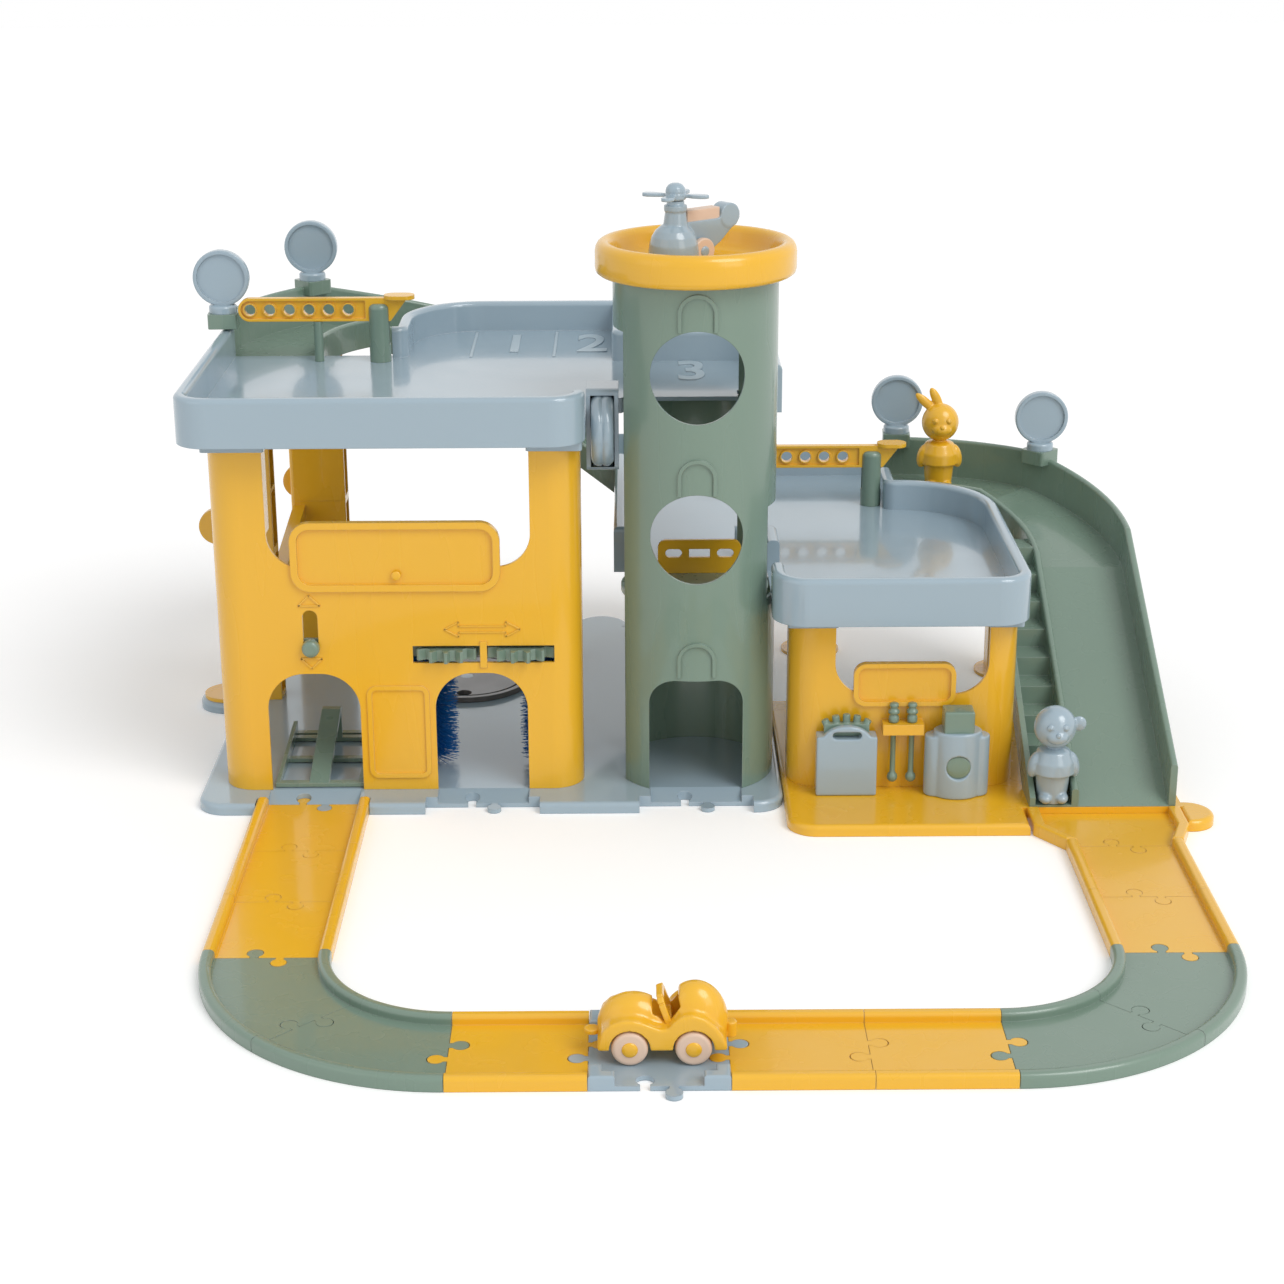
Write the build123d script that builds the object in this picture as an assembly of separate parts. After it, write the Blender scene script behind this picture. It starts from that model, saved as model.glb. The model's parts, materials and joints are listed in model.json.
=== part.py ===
from build123d import *
import math
import os

# Toy parking garage with a lift tower, two ramps, a car wash, a hoist and a road loop.
# Millimetres. X runs to the right, Y to the back and Z up. The origin is the
# lift tower's axis at the floor. Pieces of one moulding share the values below.

# ---- shared fits ----
joint_gap = 0.3            # between pieces that plug or lie together
running_gap = 0.1          # between a pin and its bore
slide_gap = 0.6            # beside a sliding piece

# ---- road ----
road_piece = 80.0          # length and width of a road piece
road_floor = 3.0
kerb_width = 8.0
kerb_height = 9.0
kerb_round = 3.0
road_left_x = -311.0       # outer edge of the left road
road_front_y = -460.0      # outer edge of the front road
road_right_x = road_left_x + 8 * road_piece
road_plug_radius = 5.0
road_plug_reach = 6.5      # centre of the plug's head beyond the end
road_plug_neck = 5.0
road_plug_offset = 8.0     # of plug and socket from the middle of the lane
funnel_length = 56.0
funnel_flare_left = 18.0
funnel_flare_right = 9.0

# ---- left base plate ----
base_height = 8.0
base_skin = 2.5
base_wall = 3.0
base_left_x = -353.0
base_right_x = 62.0
base_front_y = -72.0
base_back_y = 312.0
base_corner = 20.0
base_edge_round = 3.5
base_rib = 2.0
base_rib_pitch = 62.0
foot_pad_radius = 10.0     # solid foot below the tower's axis
bay_depth = 12.0
bay_slope = 16.0
bay_centres_x = (-271.0, -151.0, 0.0)
ear_radius = 22.0
left_ear = (-363.0, 150.0)
rear_ear = (-71.0, 319.0)

# ---- right base plate ----
forecourt_front_y = -115.0
forecourt_right_x = 229.0
right_base_left_x = base_right_x + joint_gap
right_base_back_y = 129.0
right_base_right_x = 340.0
ramp_foot_y = -84.0
right_ear = (342.0, -92.0)
right_ear_radius = 18.0

# ---- shell walls of both buildings ----
wall = 3.0
wall_front_y = -45.0
wall_corner = 22.0
wall_return = 34.0         # how far the columns wrap to the back
garage_left_x = -337.0
garage_right_x = -80.0
garage_open_left_x = -297.0
garage_open_right_x = -115.0
garage_open_z = 174.0
open_corner = 24.0
sign_border = 5.0
sign_proud = 2.5
sign_corner = 14.0
garage_sign = (-281.0, -136.0, 157.0, 207.0)
notice_panel = (-232.0, -188.0, 17.0, 87.0)
notice_border = 3.5
notice_corner = 7.0
arch_width = 65.0
arch_top_z = 96.0
arch_corner = 27.0
hoist_x = -269.5
wash_x = -149.0

# ---- upper deck ----
rim_width = 9.0
rim_height = 23.0          # above the deck's floor
rim_round = 3.5
deck_floor = 3.0
deck_skirt = 8.0           # below the deck's floor plate
deck_skin = 3.0
socket_depth = 8.0         # sleeves over the column tops
sleeve = 1.8
sleeve_corner = 0.9
deck_corner = 24.0
upper_floor_z = 276.0
deck_left_x = -354.0
deck_front_y = -68.0
deck_right_x = -76.0
deck_back_y = 264.0
deck_bend = 62.0           # outer corner beside the upper gate
deck_bend_x = -222.0
behind_tower_y = 152.0
behind_left_x = -50.0

# ---- second deck ----
second_floor_z = 147.5
second_left_x = 53.0
second_right_x = 232.5
second_rear_left_x = -58.0

# ---- ramps ----
ramp_wall = 5.0
ramp_floor = 3.0
ramp_parapet = 31.0        # outer wall above the lane
ramp_kerb = 13.0           # inner wall above the lane
ramp_underlip = 6.0
upper_level_angle = 46.0   # first, level part of each ramp's bend
right_level_angle = 42.0
upper_bend_drop = 32.0     # of the lane in the rest of the bend
right_bend_drop = 28.0
upper_ramp_centre = (-182.0, 168.0)
upper_ramp_outer = 172.0
upper_ramp_inner = 98.0
right_ramp_centre = (162.0, 120.0)
right_ramp_outer = 173.0
right_ramp_inner = 100.0
stair_count = 10
stair_start = 28.0         # of the flight before the bend's end
stair_skin = 6.0
stair_kerb = 4.0
stair_kerb_rise = 7.0
stair_landing = 1.5
ramp_foot_rise = 0.5       # of the lane above the right base at its foot
mirror_block = 22.0
mirror_block_rise = 4.5
mirror_block_height = 11.0
mirror_angles = ((-2.5, 45.9), (3.7, 45.3))   # along each ramp's bend

# ---- lift tower ----
tower_radius = 57.0
tower_wall = 2.5
tower_top_z = 373.0
tower_side_door = 55.0     # between the shells, for crank and second deck
tower_rear_door = 64.0
tower_door_top_z = 335.0
lift_door_height = 64.0
window_radius = 32.0
window_heights_z = (309.0, 196.0)
tower_arch_width = 66.0
tower_arch_top_z = 93.0
tower_arch_corner = 20.0
horseshoe_width = 27.0
horseshoe_height = 26.0
horseshoe_rib = 2.6
horseshoe_proud = 1.6
rail_width = 3.0
rail_depth = 4.0
rail_angles = (-45.0, -135.0)

# ---- lift ----
platform_thickness = 4.0
platform_back_y = 28.0
guard_thickness = 3.0
guard_height = 25.0
guard_left_x = -26.0
guard_right_x = 34.0
guard_y = 22.0
crank_y = -2.0
crank_z = 260.5
crank_radius = 25.5
crank_groove = 1.6
crank_axle_radius = 4.0
crank_cheek = 3.0
crank_housing_round = 6.0
crank_housing_right_x = -53.4
crank_housing_front_y = -8.0
crank_housing_back_y = 26.5
crank_housing_bottom_z = 232.0
crank_housing_top_z = 290.0

# ---- helipad ----
pad_radius = 69.0
pad_rim_top_z = 393.0
pad_skirt_z = 370.0
pad_floor = 3.0

# ---- gates ----
gate_post_radius = 8.0
gate_post_height = 44.0
gate_pivot_height = 39.5
gate_slot = 6.6
gate_arm_thickness = 6.0
gate_arm_height = 17.5
gate_tip_gap = 11.0        # from the upper arm's tip to the ramp's outer wall
gate_arm_hole = 4.2
gate_arm_holes = 6
gate_lever_length = 22.0
gate_slot_depth = 31.0
gate_edge = 2.0
gate_pad_start = 4.0
gate_pad_length = 23.0
gate_pad_width = 16.0
gate_rest_distance = 46.0
gate_rest_radius = 3.5
gate_pin_radius = 2.5
upper_gate = (-233.0, 150.0)
second_gate = (144.0, 199.0)

# ---- mirrors ----
mirror_radius = 21.0
mirror_thickness = 7.0
mirror_rim = 3.0
mirror_recess = 2.0
mirror_foot_radius = 10.5
mirror_foot_height = 6.0

# ---- turntable ----
turntable_centre = (-177.0, 178.0)
turntable_radius = 50.0
turntable_height = 4.5
turntable_pin_radius = 5.0
finger_hole_radius = 6.0

# ---- car wash ----
wash_gear_pitch = 26.0
wash_gear_teeth = 16
wash_gear_reach = 9.0      # how far the gears stand out of the wall
tooth_height = 5.6
tooth_addendum = 2.5
wash_gear_height = 8.0
wash_gear_z = 106.0
gear_window_height = 12.6
brush_gear_teeth = 8
brush_side = 18.0          # brush axis beside its gear's axis
brush_core_radius = 7.0
brush_reach = 19.0
brush_sides = 10
brush_rows = 20
brush_row_pitch = 4.3
brush_bottom_z = 13.0
bristle = 1.3
brush_shaft_radius = 3.0
wash_plate = 3.0
bracket_corner = 12.0
gear_pin_radius = 4.0

# ---- hoist ----
hoist_width = 62.0
hoist_length = 104.0
hoist_rail = 3.0
hoist_lift = 22.0
hoist_slot_width = 10.5
hoist_slot = (110.0, 143.0)
hoist_knob_radius = 6.2
hoist_plank = 14.0
hoist_plank_rise = 27.0
hoist_strip = 10.0

# ---- supports ----
pillar_width = 30.0
pillar_depth = 24.0
pillar_skin = 3.0
ramp_pillar_left = (-335.0, 150.0)
ramp_pillar_back = (-303.5, 296.0)
ramp_pillar_width = 45.0
pillar_split_z = 128.0
pillar_rib_pitch = 38.0
beam_thickness = 10.0
beam_depth = 30.0
lug_radius = 14.0
lug_z = 147.0
garage_rear_pillar = (-106.0, 238.0)
landing_pillar = (0.0, 299.0)
second_rear_pillar = (104.0, 272.0)

# ---- right building ----
right_wall_left_x = 66.0
right_wall_right_x = 228.0
right_open_left_x = 98.0
right_open_right_x = 206.0
right_open_z = 78.0
right_sign = (111.0, 183.0, 70.0, 102.0)
right_sign_corner = 9.0

# ---- service stand-ups on the forecourt ----
pump_x = 184.0
pump_width = 44.0
pump_height = 49.0
pump_depth = 26.0
pump_dial_radius = 8.5
pump_dial_z = 32.0
pump_cap_width = 22.0
pump_cap_height = 16.0
case_x = 106.0
case_width = 43.0
case_height = 52.0
case_depth = 15.0
case_corner = 5.0
case_handle_slot = 5.0
case_tool_count = 4
nozzle_xs = (139.5, 152.5)
nozzle_bottom_z = 14.5
nozzle_length = 60.0
nozzle_radius = 1.8
nozzle_stand_off = 6.0
nozzle_bracket_height = 8.0

# ---- car ----
car_x = -29.5
car_width = 36.0
wheel_radius = 10.4
wheel_width = 9.0
wheel_arch_gap = 1.2
car_wheelbase = 36.0
car_axle_radius = 2.5
car_skirt = 1.0            # of the body below the axles
car_hoop = 3.0

# ---- helicopter ----
heli_turn = 38.0
heli_x = -14.0
heli_y = -6.0
heli_rotor_z = 44.0
rotor_blades = 4
rotor_turn = -20.0
rotor_thickness = 2.5
heli_wheel_radius = 9.0
heli_length = 50.0
heli_body_radius = 15.0
rotor_length = 46.0

# ---- figures ----
figure_radius = 15.5       # of the jacket's hem
figure_height = 72.0
bear_xy = (249.5, -74.0)
rabbit_xy = (203.0, 244.0)

# ---- derived ----
lane_middle = road_piece / 2
road_back_y = base_front_y + bay_depth
upper_rim_z = upper_floor_z + rim_height
second_rim_z = second_floor_z + rim_height
tower_inner = tower_radius - tower_wall
tower_hole = tower_radius + 1.2
LOW = (Align.CENTER, Align.CENTER, Align.MIN)


def block(x0, x1, y0, y1, z0, z1):
    return Pos((x0 + x1) / 2, (y0 + y1) / 2, (z0 + z1) / 2) * Box(x1 - x0, y1 - y0, z1 - z0)


def post(x, y, z0, z1, radius):
    return Pos(x, y, z0) * Cylinder(radius, z1 - z0, align=LOW)


def rod_x(x0, x1, y, z, radius):
    return Pos(x0, y, z) * Rot(0, 90, 0) * Cylinder(radius, x1 - x0, align=LOW)


def rod_y(x, y0, y1, z, radius):
    return Pos(x, y0, z) * Rot(-90, 0, 0) * Cylinder(radius, y1 - y0, align=LOW)


def facing_front(sketch, y_front, y_back):
    plane = Plane(origin=(0, y_back, 0), x_dir=(1, 0, 0), z_dir=(0, -1, 0))
    return extrude(plane * sketch, y_back - y_front)


def facing_side(sketch, x0, x1):
    plane = Plane(origin=(x0, 0, 0), x_dir=(0, 1, 0), z_dir=(1, 0, 0))
    return extrude(plane * sketch, x1 - x0)


def slab(sketch, z0, z1):
    return extrude(Plane.XY.offset(z0) * sketch, z1 - z0)


def polygon(*points):
    return make_face(Polyline(*points, close=True))


def field(x0, x1, y0, y1):
    return Pos((x0 + x1) / 2, (y0 + y1) / 2) * Rectangle(x1 - x0, y1 - y0)


def soft_field(x0, x1, y0, y1, corner):
    return Pos((x0 + x1) / 2, (y0 + y1) / 2) * RectangleRounded(x1 - x0, y1 - y0, corner)


def one(shape):
    """Join touching pieces of one moulding and clean its faces."""
    return shape.clean()


# ---------------- road ----------------
def plug(x, y, heading, grow=0.0):
    """Round-headed plug that points along heading, in plan."""
    head = Pos(road_plug_reach, 0) * Circle(road_plug_radius + grow)
    neck_length = road_plug_reach + 2
    neck = Pos(neck_length / 2 - 2, 0) * Rectangle(neck_length, road_plug_neck + 2 * grow)
    return Pos(x, y) * Rot(0, 0, heading) * (head + neck)


def end_fittings(x, y, heading):
    """The plug and the socket of one road end whose middle is at x, y."""
    side = math.radians(heading + 90)
    dx, dy = math.cos(side) * road_plug_offset, math.sin(side) * road_plug_offset
    socket = plug(x - dx, y - dy, heading + 180, joint_gap)
    return plug(x + dx, y + dy, heading), socket


def road_section(width):
    """Cross-section of the lane: a floor between two round-topped kerbs."""
    floor = Pos(width / 2, road_floor / 2) * Rectangle(width, road_floor)
    kerb = Rectangle(kerb_width, kerb_height, align=(Align.MIN, Align.MIN))
    kerb = fillet(kerb.vertices().group_by(Axis.Y)[-1], kerb_round)
    return floor + kerb + Pos(width - kerb_width, 0) * kerb


def fit_ends(body, ends):
    for x, y, heading in ends:
        pin, socket = end_fittings(x, y, heading)
        body = body - slab(socket, -1, kerb_height)
        body = body + slab(pin, 0, road_floor)
    return body


def straight_road(x, y, heading):
    """One straight piece; x, y is the middle of its near end."""
    half_gap = joint_gap / 2
    length = road_piece - joint_gap
    section = facing_front(Pos(-road_piece / 2, 0) * road_section(road_piece), half_gap, half_gap + length)
    body = fit_ends(section, ((0, half_gap, -90), (0, half_gap + length, 90)))
    return Pos(x, y, 0) * Rot(0, 0, heading) * body


def curved_road(centre_x, centre_y, start):
    """An eighth of a turn around the inner corner, from the angle start."""
    gap_angle = math.degrees(joint_gap / (1.5 * road_piece))
    sweep_angle = 45 - gap_angle
    section = Plane.XZ * Pos(road_piece, 0) * road_section(road_piece)
    body = revolve(section, Axis.Z, sweep_angle)
    middle = 1.5 * road_piece
    end = math.radians(sweep_angle)
    ends = ((middle, 0, -90), (middle * math.cos(end), middle * math.sin(end), 90 + sweep_angle))
    body = fit_ends(body, ends)
    return Pos(centre_x, centre_y, 0) * Rot(0, 0, start + gap_angle / 2) * body


def road_junction(x, y):
    """Crossing piece: four plugged sides with a round kerb stub at each corner."""
    half = road_piece / 2 - joint_gap / 2
    stub = 15.0
    body = slab(field(-half, half, -half, half), 0, road_floor)
    corner = field(half - stub, half, half - kerb_width, half) + field(half - kerb_width, half, half - stub, half)
    corner = slab(corner, 0, kerb_height)
    corner = fillet(corner.edges().group_by(Axis.Z)[-1], kerb_round / 2)
    for turn in range(4):
        body = body + Rot(0, 0, 90 * turn) * corner
    body = fit_ends(body, [(half * math.cos(math.radians(a)), half * math.sin(math.radians(a)), a)
                           for a in (0, 90, 180, 270)])
    return Pos(x, y, 0) * body


def road_funnel():
    """Flared piece between the right ramp's foot and the narrower road."""
    near_y = ramp_foot_y - funnel_length + joint_gap / 2
    far_y = ramp_foot_y - joint_gap
    bend_y = near_y + 0.45 * funnel_length
    left, right = road_right_x - road_piece, road_right_x
    outer_left = left - funnel_flare_left
    outer_right = right + funnel_flare_right
    left_line = ((left, near_y), (outer_left, bend_y), (outer_left, far_y))
    right_line = ((right, near_y), (outer_right, bend_y), (outer_right, far_y))
    floor = slab(polygon(*left_line, *reversed(right_line)), 0, road_floor)
    kerbs = []
    for line, side in ((left_line, 1), (right_line, -1)):
        inner = [(px + side * kerb_width, py) for px, py in line]
        kerb = slab(polygon(*line, *reversed(inner)), 0, kerb_height)
        kerbs.append(fillet(kerb.edges().group_by(Axis.Z)[-1], kerb_round / 2))
    body = floor + kerbs[0] + kerbs[1]
    return fit_ends(body, (((left + right) / 2, near_y, -90),))


def roads():
    left = road_left_x + lane_middle
    right = road_right_x - lane_middle
    near = road_front_y + lane_middle
    corner_y = road_front_y + 2 * road_piece
    left_corner = (road_left_x + 2 * road_piece, corner_y)
    right_corner = (road_right_x - 2 * road_piece, corner_y)
    right_count = round((ramp_foot_y - funnel_length - corner_y) / road_piece)
    return {
        "road_left_straights": Compound([straight_road(left, corner_y + i * road_piece, 0) for i in range(3)]),
        "road_left_curves": Compound([curved_road(*left_corner, 180 + 45 * i) for i in range(2)]),
        "road_front_straights": Compound([
            straight_road(left_corner[0] + i * road_piece, near, -90) for i in (0, 2, 3)]),
        "road_junction": road_junction(left_corner[0] + 1.5 * road_piece, near),
        "road_right_curves": Compound([curved_road(*right_corner, 270 + 45 * i) for i in range(2)]),
        "road_right_straights": Compound([
            straight_road(right, corner_y + i * road_piece, 0) for i in range(right_count)]),
        "road_funnel": road_funnel(),
    }


# ---------------- base plates ----------------
def hollow_under(body, outline, height):
    """Moulded underside: a pocket with crossed ribs below the top skin."""
    pocket = offset(outline, -base_wall)
    box = outline.bounding_box()
    reach = 2 * road_piece * 8
    ribs = Sketch()
    steps = range(-8, 9)
    for step in steps:
        at = step * base_rib_pitch
        if box.min.X < at < box.max.X:
            ribs = ribs + Pos(at, 0) * Rectangle(base_rib, reach)
        if box.min.Y < at < box.max.Y:
            ribs = ribs + Pos(0, at) * Rectangle(reach, base_rib)
    return body - slab(pocket - ribs, -1, height - base_skin)


def base_plate():
    outline = soft_field(base_left_x, base_right_x, base_front_y, base_back_y, base_corner)
    for x, y in (left_ear, rear_ear):
        outline = outline + Pos(x, y) * Circle(ear_radius)
    body = slab(outline, 0, base_height)
    body = fillet(body.edges().group_by(Axis.Z)[-1], base_edge_round)
    under = outline
    for x in bay_centres_x:
        under = under - field(x - lane_middle - base_wall, x + lane_middle + base_wall,
                              base_front_y, road_back_y + bay_slope)
    body = hollow_under(body, under, base_height)
    for x in bay_centres_x:
        half = lane_middle + joint_gap
        slope = polygon((base_front_y - 1, road_floor), (road_back_y, road_floor),
                        (road_back_y + bay_slope, base_height + 0.01), (base_front_y - 1, base_height + 5))
        body = body - facing_side(slope, x - half + kerb_width, x + half - kerb_width)
        body = body - block(x - half, x + half, base_front_y - 1, road_back_y, -1, base_height + 1)
        pin, socket = end_fittings(x, road_back_y, -90)
        body = body - slab(socket, -1, base_height + 1) + slab(pin, 0, road_floor)
    for x in (wash_x - wash_spread(), wash_x + wash_spread()):
        body = body + post(x, brush_axis_y(), base_height, base_height + 2, brush_shaft_radius + 3)
        body = body - post(x, brush_axis_y(), base_height - base_skin / 2 - joint_gap, base_height + 3,
                           brush_shaft_radius + running_gap)
    pin_x, pin_y = turntable_centre
    body = body + post(pin_x, pin_y, base_height, base_height + turntable_height, turntable_pin_radius)
    return body + post(0, 0, 0, base_height - base_skin + 0.5, foot_pad_radius)


def right_base():
    left = right_base_left_x
    outline = field(left, forecourt_right_x, forecourt_front_y, ramp_foot_y + 2)
    outline = fillet(outline.vertices().group_by(Axis.Y)[0].sort_by(Axis.X)[0], base_corner)
    outline = outline + field(left, right_base_right_x, ramp_foot_y, right_base_back_y)
    outline = outline + Pos(*right_ear) * Circle(right_ear_radius)
    outline = outline - field(forecourt_right_x, road_right_x + funnel_flare_right + joint_gap,
                              forecourt_front_y - road_piece, ramp_foot_y)
    body = slab(outline, 0, base_height)
    front = body.edges().group_by(Axis.Z)[-1].filter_by_position(
        Axis.Y, forecourt_front_y - 1, ramp_foot_y - base_wall)
    body = fillet(front, base_edge_round)
    return hollow_under(body, outline, base_height)


# ---------------- shell walls ----------------
def wrap_wall(x0, x1, z0, z1):
    """Front panel whose two ends wrap back as rounded columns."""
    outer = field(x0, x1, wall_front_y, wall_front_y + wall_return)
    outer = fillet(outer.vertices().group_by(Axis.Y)[0], wall_corner)
    inner = field(x0 + wall, x1 - wall, wall_front_y + wall, wall_front_y + wall_return + 1)
    inner = fillet(inner.vertices().group_by(Axis.Y)[0], wall_corner - wall)
    return slab(outer - inner, z0, z1)


def panel(x0, x1, z0, z1, corner):
    return soft_field(x0, x1, z0, z1, corner)


def framed_panel(bounds, corner, border, proud, back=0.0):
    """Raised border on the wall's face, with its field level with the wall."""
    x0, x1, z0, z1 = bounds
    outer = panel(x0, x1, z0, z1, corner)
    inner = panel(x0 + border, x1 - border, z0 + border, z1 - border, max(corner - border, 1))
    frame = facing_front(outer - inner, wall_front_y - proud, wall_front_y + wall)
    plate = facing_front(outer, wall_front_y + back, wall_front_y + wall)
    return frame + plate


def top_opening(x0, x1, z0, z_top):
    return facing_front(panel(x0, x1, z0, z_top + 2 * open_corner, open_corner),
                        wall_front_y - wall, wall_front_y + wall_return / 3)


def column_returns(x0, x1, open0, open1, z0, z1):
    """Inner edges that stiffen the two columns beside the top opening."""
    lips = []
    for x in (open0 - wall, open1):
        lips.append(block(x, x + wall, wall_front_y + wall, wall_front_y + wall_return / 2, z0, z1))
    return lips


def garage_front_wall():
    top = upper_floor_z - deck_floor
    body = wrap_wall(garage_left_x, garage_right_x, base_height, top)
    body = body - top_opening(garage_open_left_x, garage_open_right_x, garage_open_z, top)
    body = body + framed_panel(garage_sign, sign_corner, sign_border, sign_proud)
    body = body + framed_panel(notice_panel, notice_corner, notice_border, sign_proud / 2)
    for lip in column_returns(garage_left_x, garage_right_x, garage_open_left_x, garage_open_right_x,
                              garage_open_z + open_corner, top):
        body = body + lip
    deep = wall_front_y + wall_return / 3
    for x in (hoist_x, wash_x - 2.3):
        arch = panel(x - arch_width / 2, x + arch_width / 2, -arch_top_z, arch_top_z, arch_corner)
        body = body - facing_front(arch, wall_front_y - wall, deep)
    slot = panel(hoist_x - hoist_slot_width / 2, hoist_x + hoist_slot_width / 2, *hoist_slot,
                 hoist_slot_width / 2 - 0.01)
    body = body - facing_front(slot, wall_front_y - wall, deep)
    middle_z = wash_gear_z + wash_gear_height / 2
    for side in (-1, 1):
        x = wash_x + side * wash_gear_pitch
        half = gear_window_half()
        window = Pos(x, middle_z) * Rectangle(2 * half, gear_window_height)
        body = body - facing_front(window, wall_front_y - wall, deep)
    bar = Pos(wash_x, middle_z) * Rectangle(2 * (wash_gear_pitch - gear_window_half()), gear_window_height + 7)
    return body + facing_front(bar, wall_front_y - sign_proud / 2, wall_front_y + 1)


def gear_window_half():
    """Half the width that the gear's tips sweep at the wall's inner face."""
    depth = gear_tip() - wash_gear_reach - wall
    return math.sqrt(gear_tip() ** 2 - depth ** 2) + joint_gap


def gear_tip():
    return wash_gear_pitch + tooth_addendum


def gear_axis_y():
    return wall_front_y + gear_tip() - wash_gear_reach


def brush_gear_radius():
    return wash_gear_pitch * brush_gear_teeth / wash_gear_teeth


def brush_axis_y():
    reach = wash_gear_pitch + brush_gear_radius()
    return gear_axis_y() + math.sqrt(reach ** 2 - brush_side ** 2)


def wash_spread():
    return wash_gear_pitch + brush_side


def right_front_wall():
    top = second_floor_z - deck_floor
    body = wrap_wall(right_wall_left_x, right_wall_right_x, base_height, top)
    body = body - top_opening(right_open_left_x, right_open_right_x, right_open_z, top)
    body = body + framed_panel(right_sign, right_sign_corner, sign_border * 0.7, sign_proud)
    bracket_half = (nozzle_xs[1] - nozzle_xs[0]) / 2 + 8
    bracket_x = (nozzle_xs[0] + nozzle_xs[1]) / 2
    bracket_top = nozzle_bracket_top()
    bracket_z = bracket_top - nozzle_bracket_height
    body = body + block(bracket_x - bracket_half, bracket_x + bracket_half,
                        wall_front_y - 2 * nozzle_stand_off, wall_front_y + 1, bracket_z, bracket_top)
    for x in nozzle_xs:
        body = body - post(x, wall_front_y - nozzle_stand_off, bracket_z - 1, bracket_top + 1,
                           nozzle_radius + joint_gap)
    return body


# ---------------- decks ----------------
def deck_tray(outline, floor_z):
    """Tray with a thick rim above its floor and a thin skirt below it."""
    rim_z = floor_z + rim_height
    skirt_z = floor_z - deck_floor - deck_skirt
    body = slab(outline, skirt_z, rim_z)
    body = body - slab(offset(outline, -rim_width), floor_z, rim_z + 1)
    body = fillet(body.edges().group_by(Axis.Z)[-1], min(rim_round, rim_width / 2 - 0.5))
    body = body - slab(offset(outline, -deck_skin), skirt_z - 1, floor_z - deck_floor)
    return body


def tower_cut(z0, z1):
    return post(0, 0, z0, z1, tower_hole)


def upper_deck():
    side_y = crank_housing_back_y + joint_gap
    main = polygon((deck_left_x, deck_front_y), (deck_right_x, deck_front_y), (deck_right_x, side_y),
                   (base_right_x, side_y), (base_right_x, behind_tower_y), (behind_left_x, behind_tower_y),
                   (behind_left_x, deck_back_y), (deck_bend_x, deck_back_y),
                   (deck_bend_x, upper_ramp_centre[1]), (deck_left_x, upper_ramp_centre[1]))
    corners = main.vertices().filter_by_position(Axis.Y, deck_front_y - 1, deck_front_y + 1)
    main = fillet(corners, deck_corner)
    bend = main.vertices().sort_by_distance((deck_bend_x, deck_back_y, 0))[0]
    main = fillet(bend, deck_bend)
    body = deck_tray(main, upper_floor_z)
    z0, z1 = upper_floor_z - deck_floor - deck_skirt - 1, upper_rim_z + 1
    body = body - tower_cut(z0, z1)
    gate_x = upper_gate[0] + gate_post_radius
    body = body - block(deck_left_x + rim_width, gate_x, upper_ramp_centre[1] - rim_width - 1,
                        upper_ramp_centre[1] + 1, upper_floor_z, z1)
    body = body - block(deck_right_x - rim_width - 1, deck_right_x + 1, deck_front_y + deck_corner,
                        side_y + rim_width, upper_floor_z, z1)
    body = body - block(deck_right_x - 1, base_right_x - rim_width, side_y - 1, tower_radius + rim_width,
                        upper_floor_z, z1)
    half_rear = tower_rear_door / 2 - 1
    plate_z = upper_floor_z - deck_floor
    body = body + block(-half_rear, half_rear, platform_back_y + 2, tower_radius + 6, plate_z, upper_floor_z)
    for x0, x1 in ((garage_left_x, garage_open_left_x), (garage_open_right_x, garage_right_x)):
        body = body + column_sleeve(x0, x1, plate_z)
    return body


def column_sleeve(x0, x1, plate_z):
    """Short sleeve below a deck's floor plate, round the top of a column."""
    y0, y1 = wall_front_y, wall_front_y + wall_return
    ring = soft_field(x0 - sleeve, x1 + sleeve, y0 - sleeve, y1 + sleeve, sleeve_corner + sleeve)
    hole = soft_field(x0 - joint_gap, x1 + joint_gap, y0 - joint_gap, y1 + joint_gap, sleeve_corner)
    return slab(ring - hole, plate_z - deck_skirt - socket_depth, plate_z)


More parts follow.
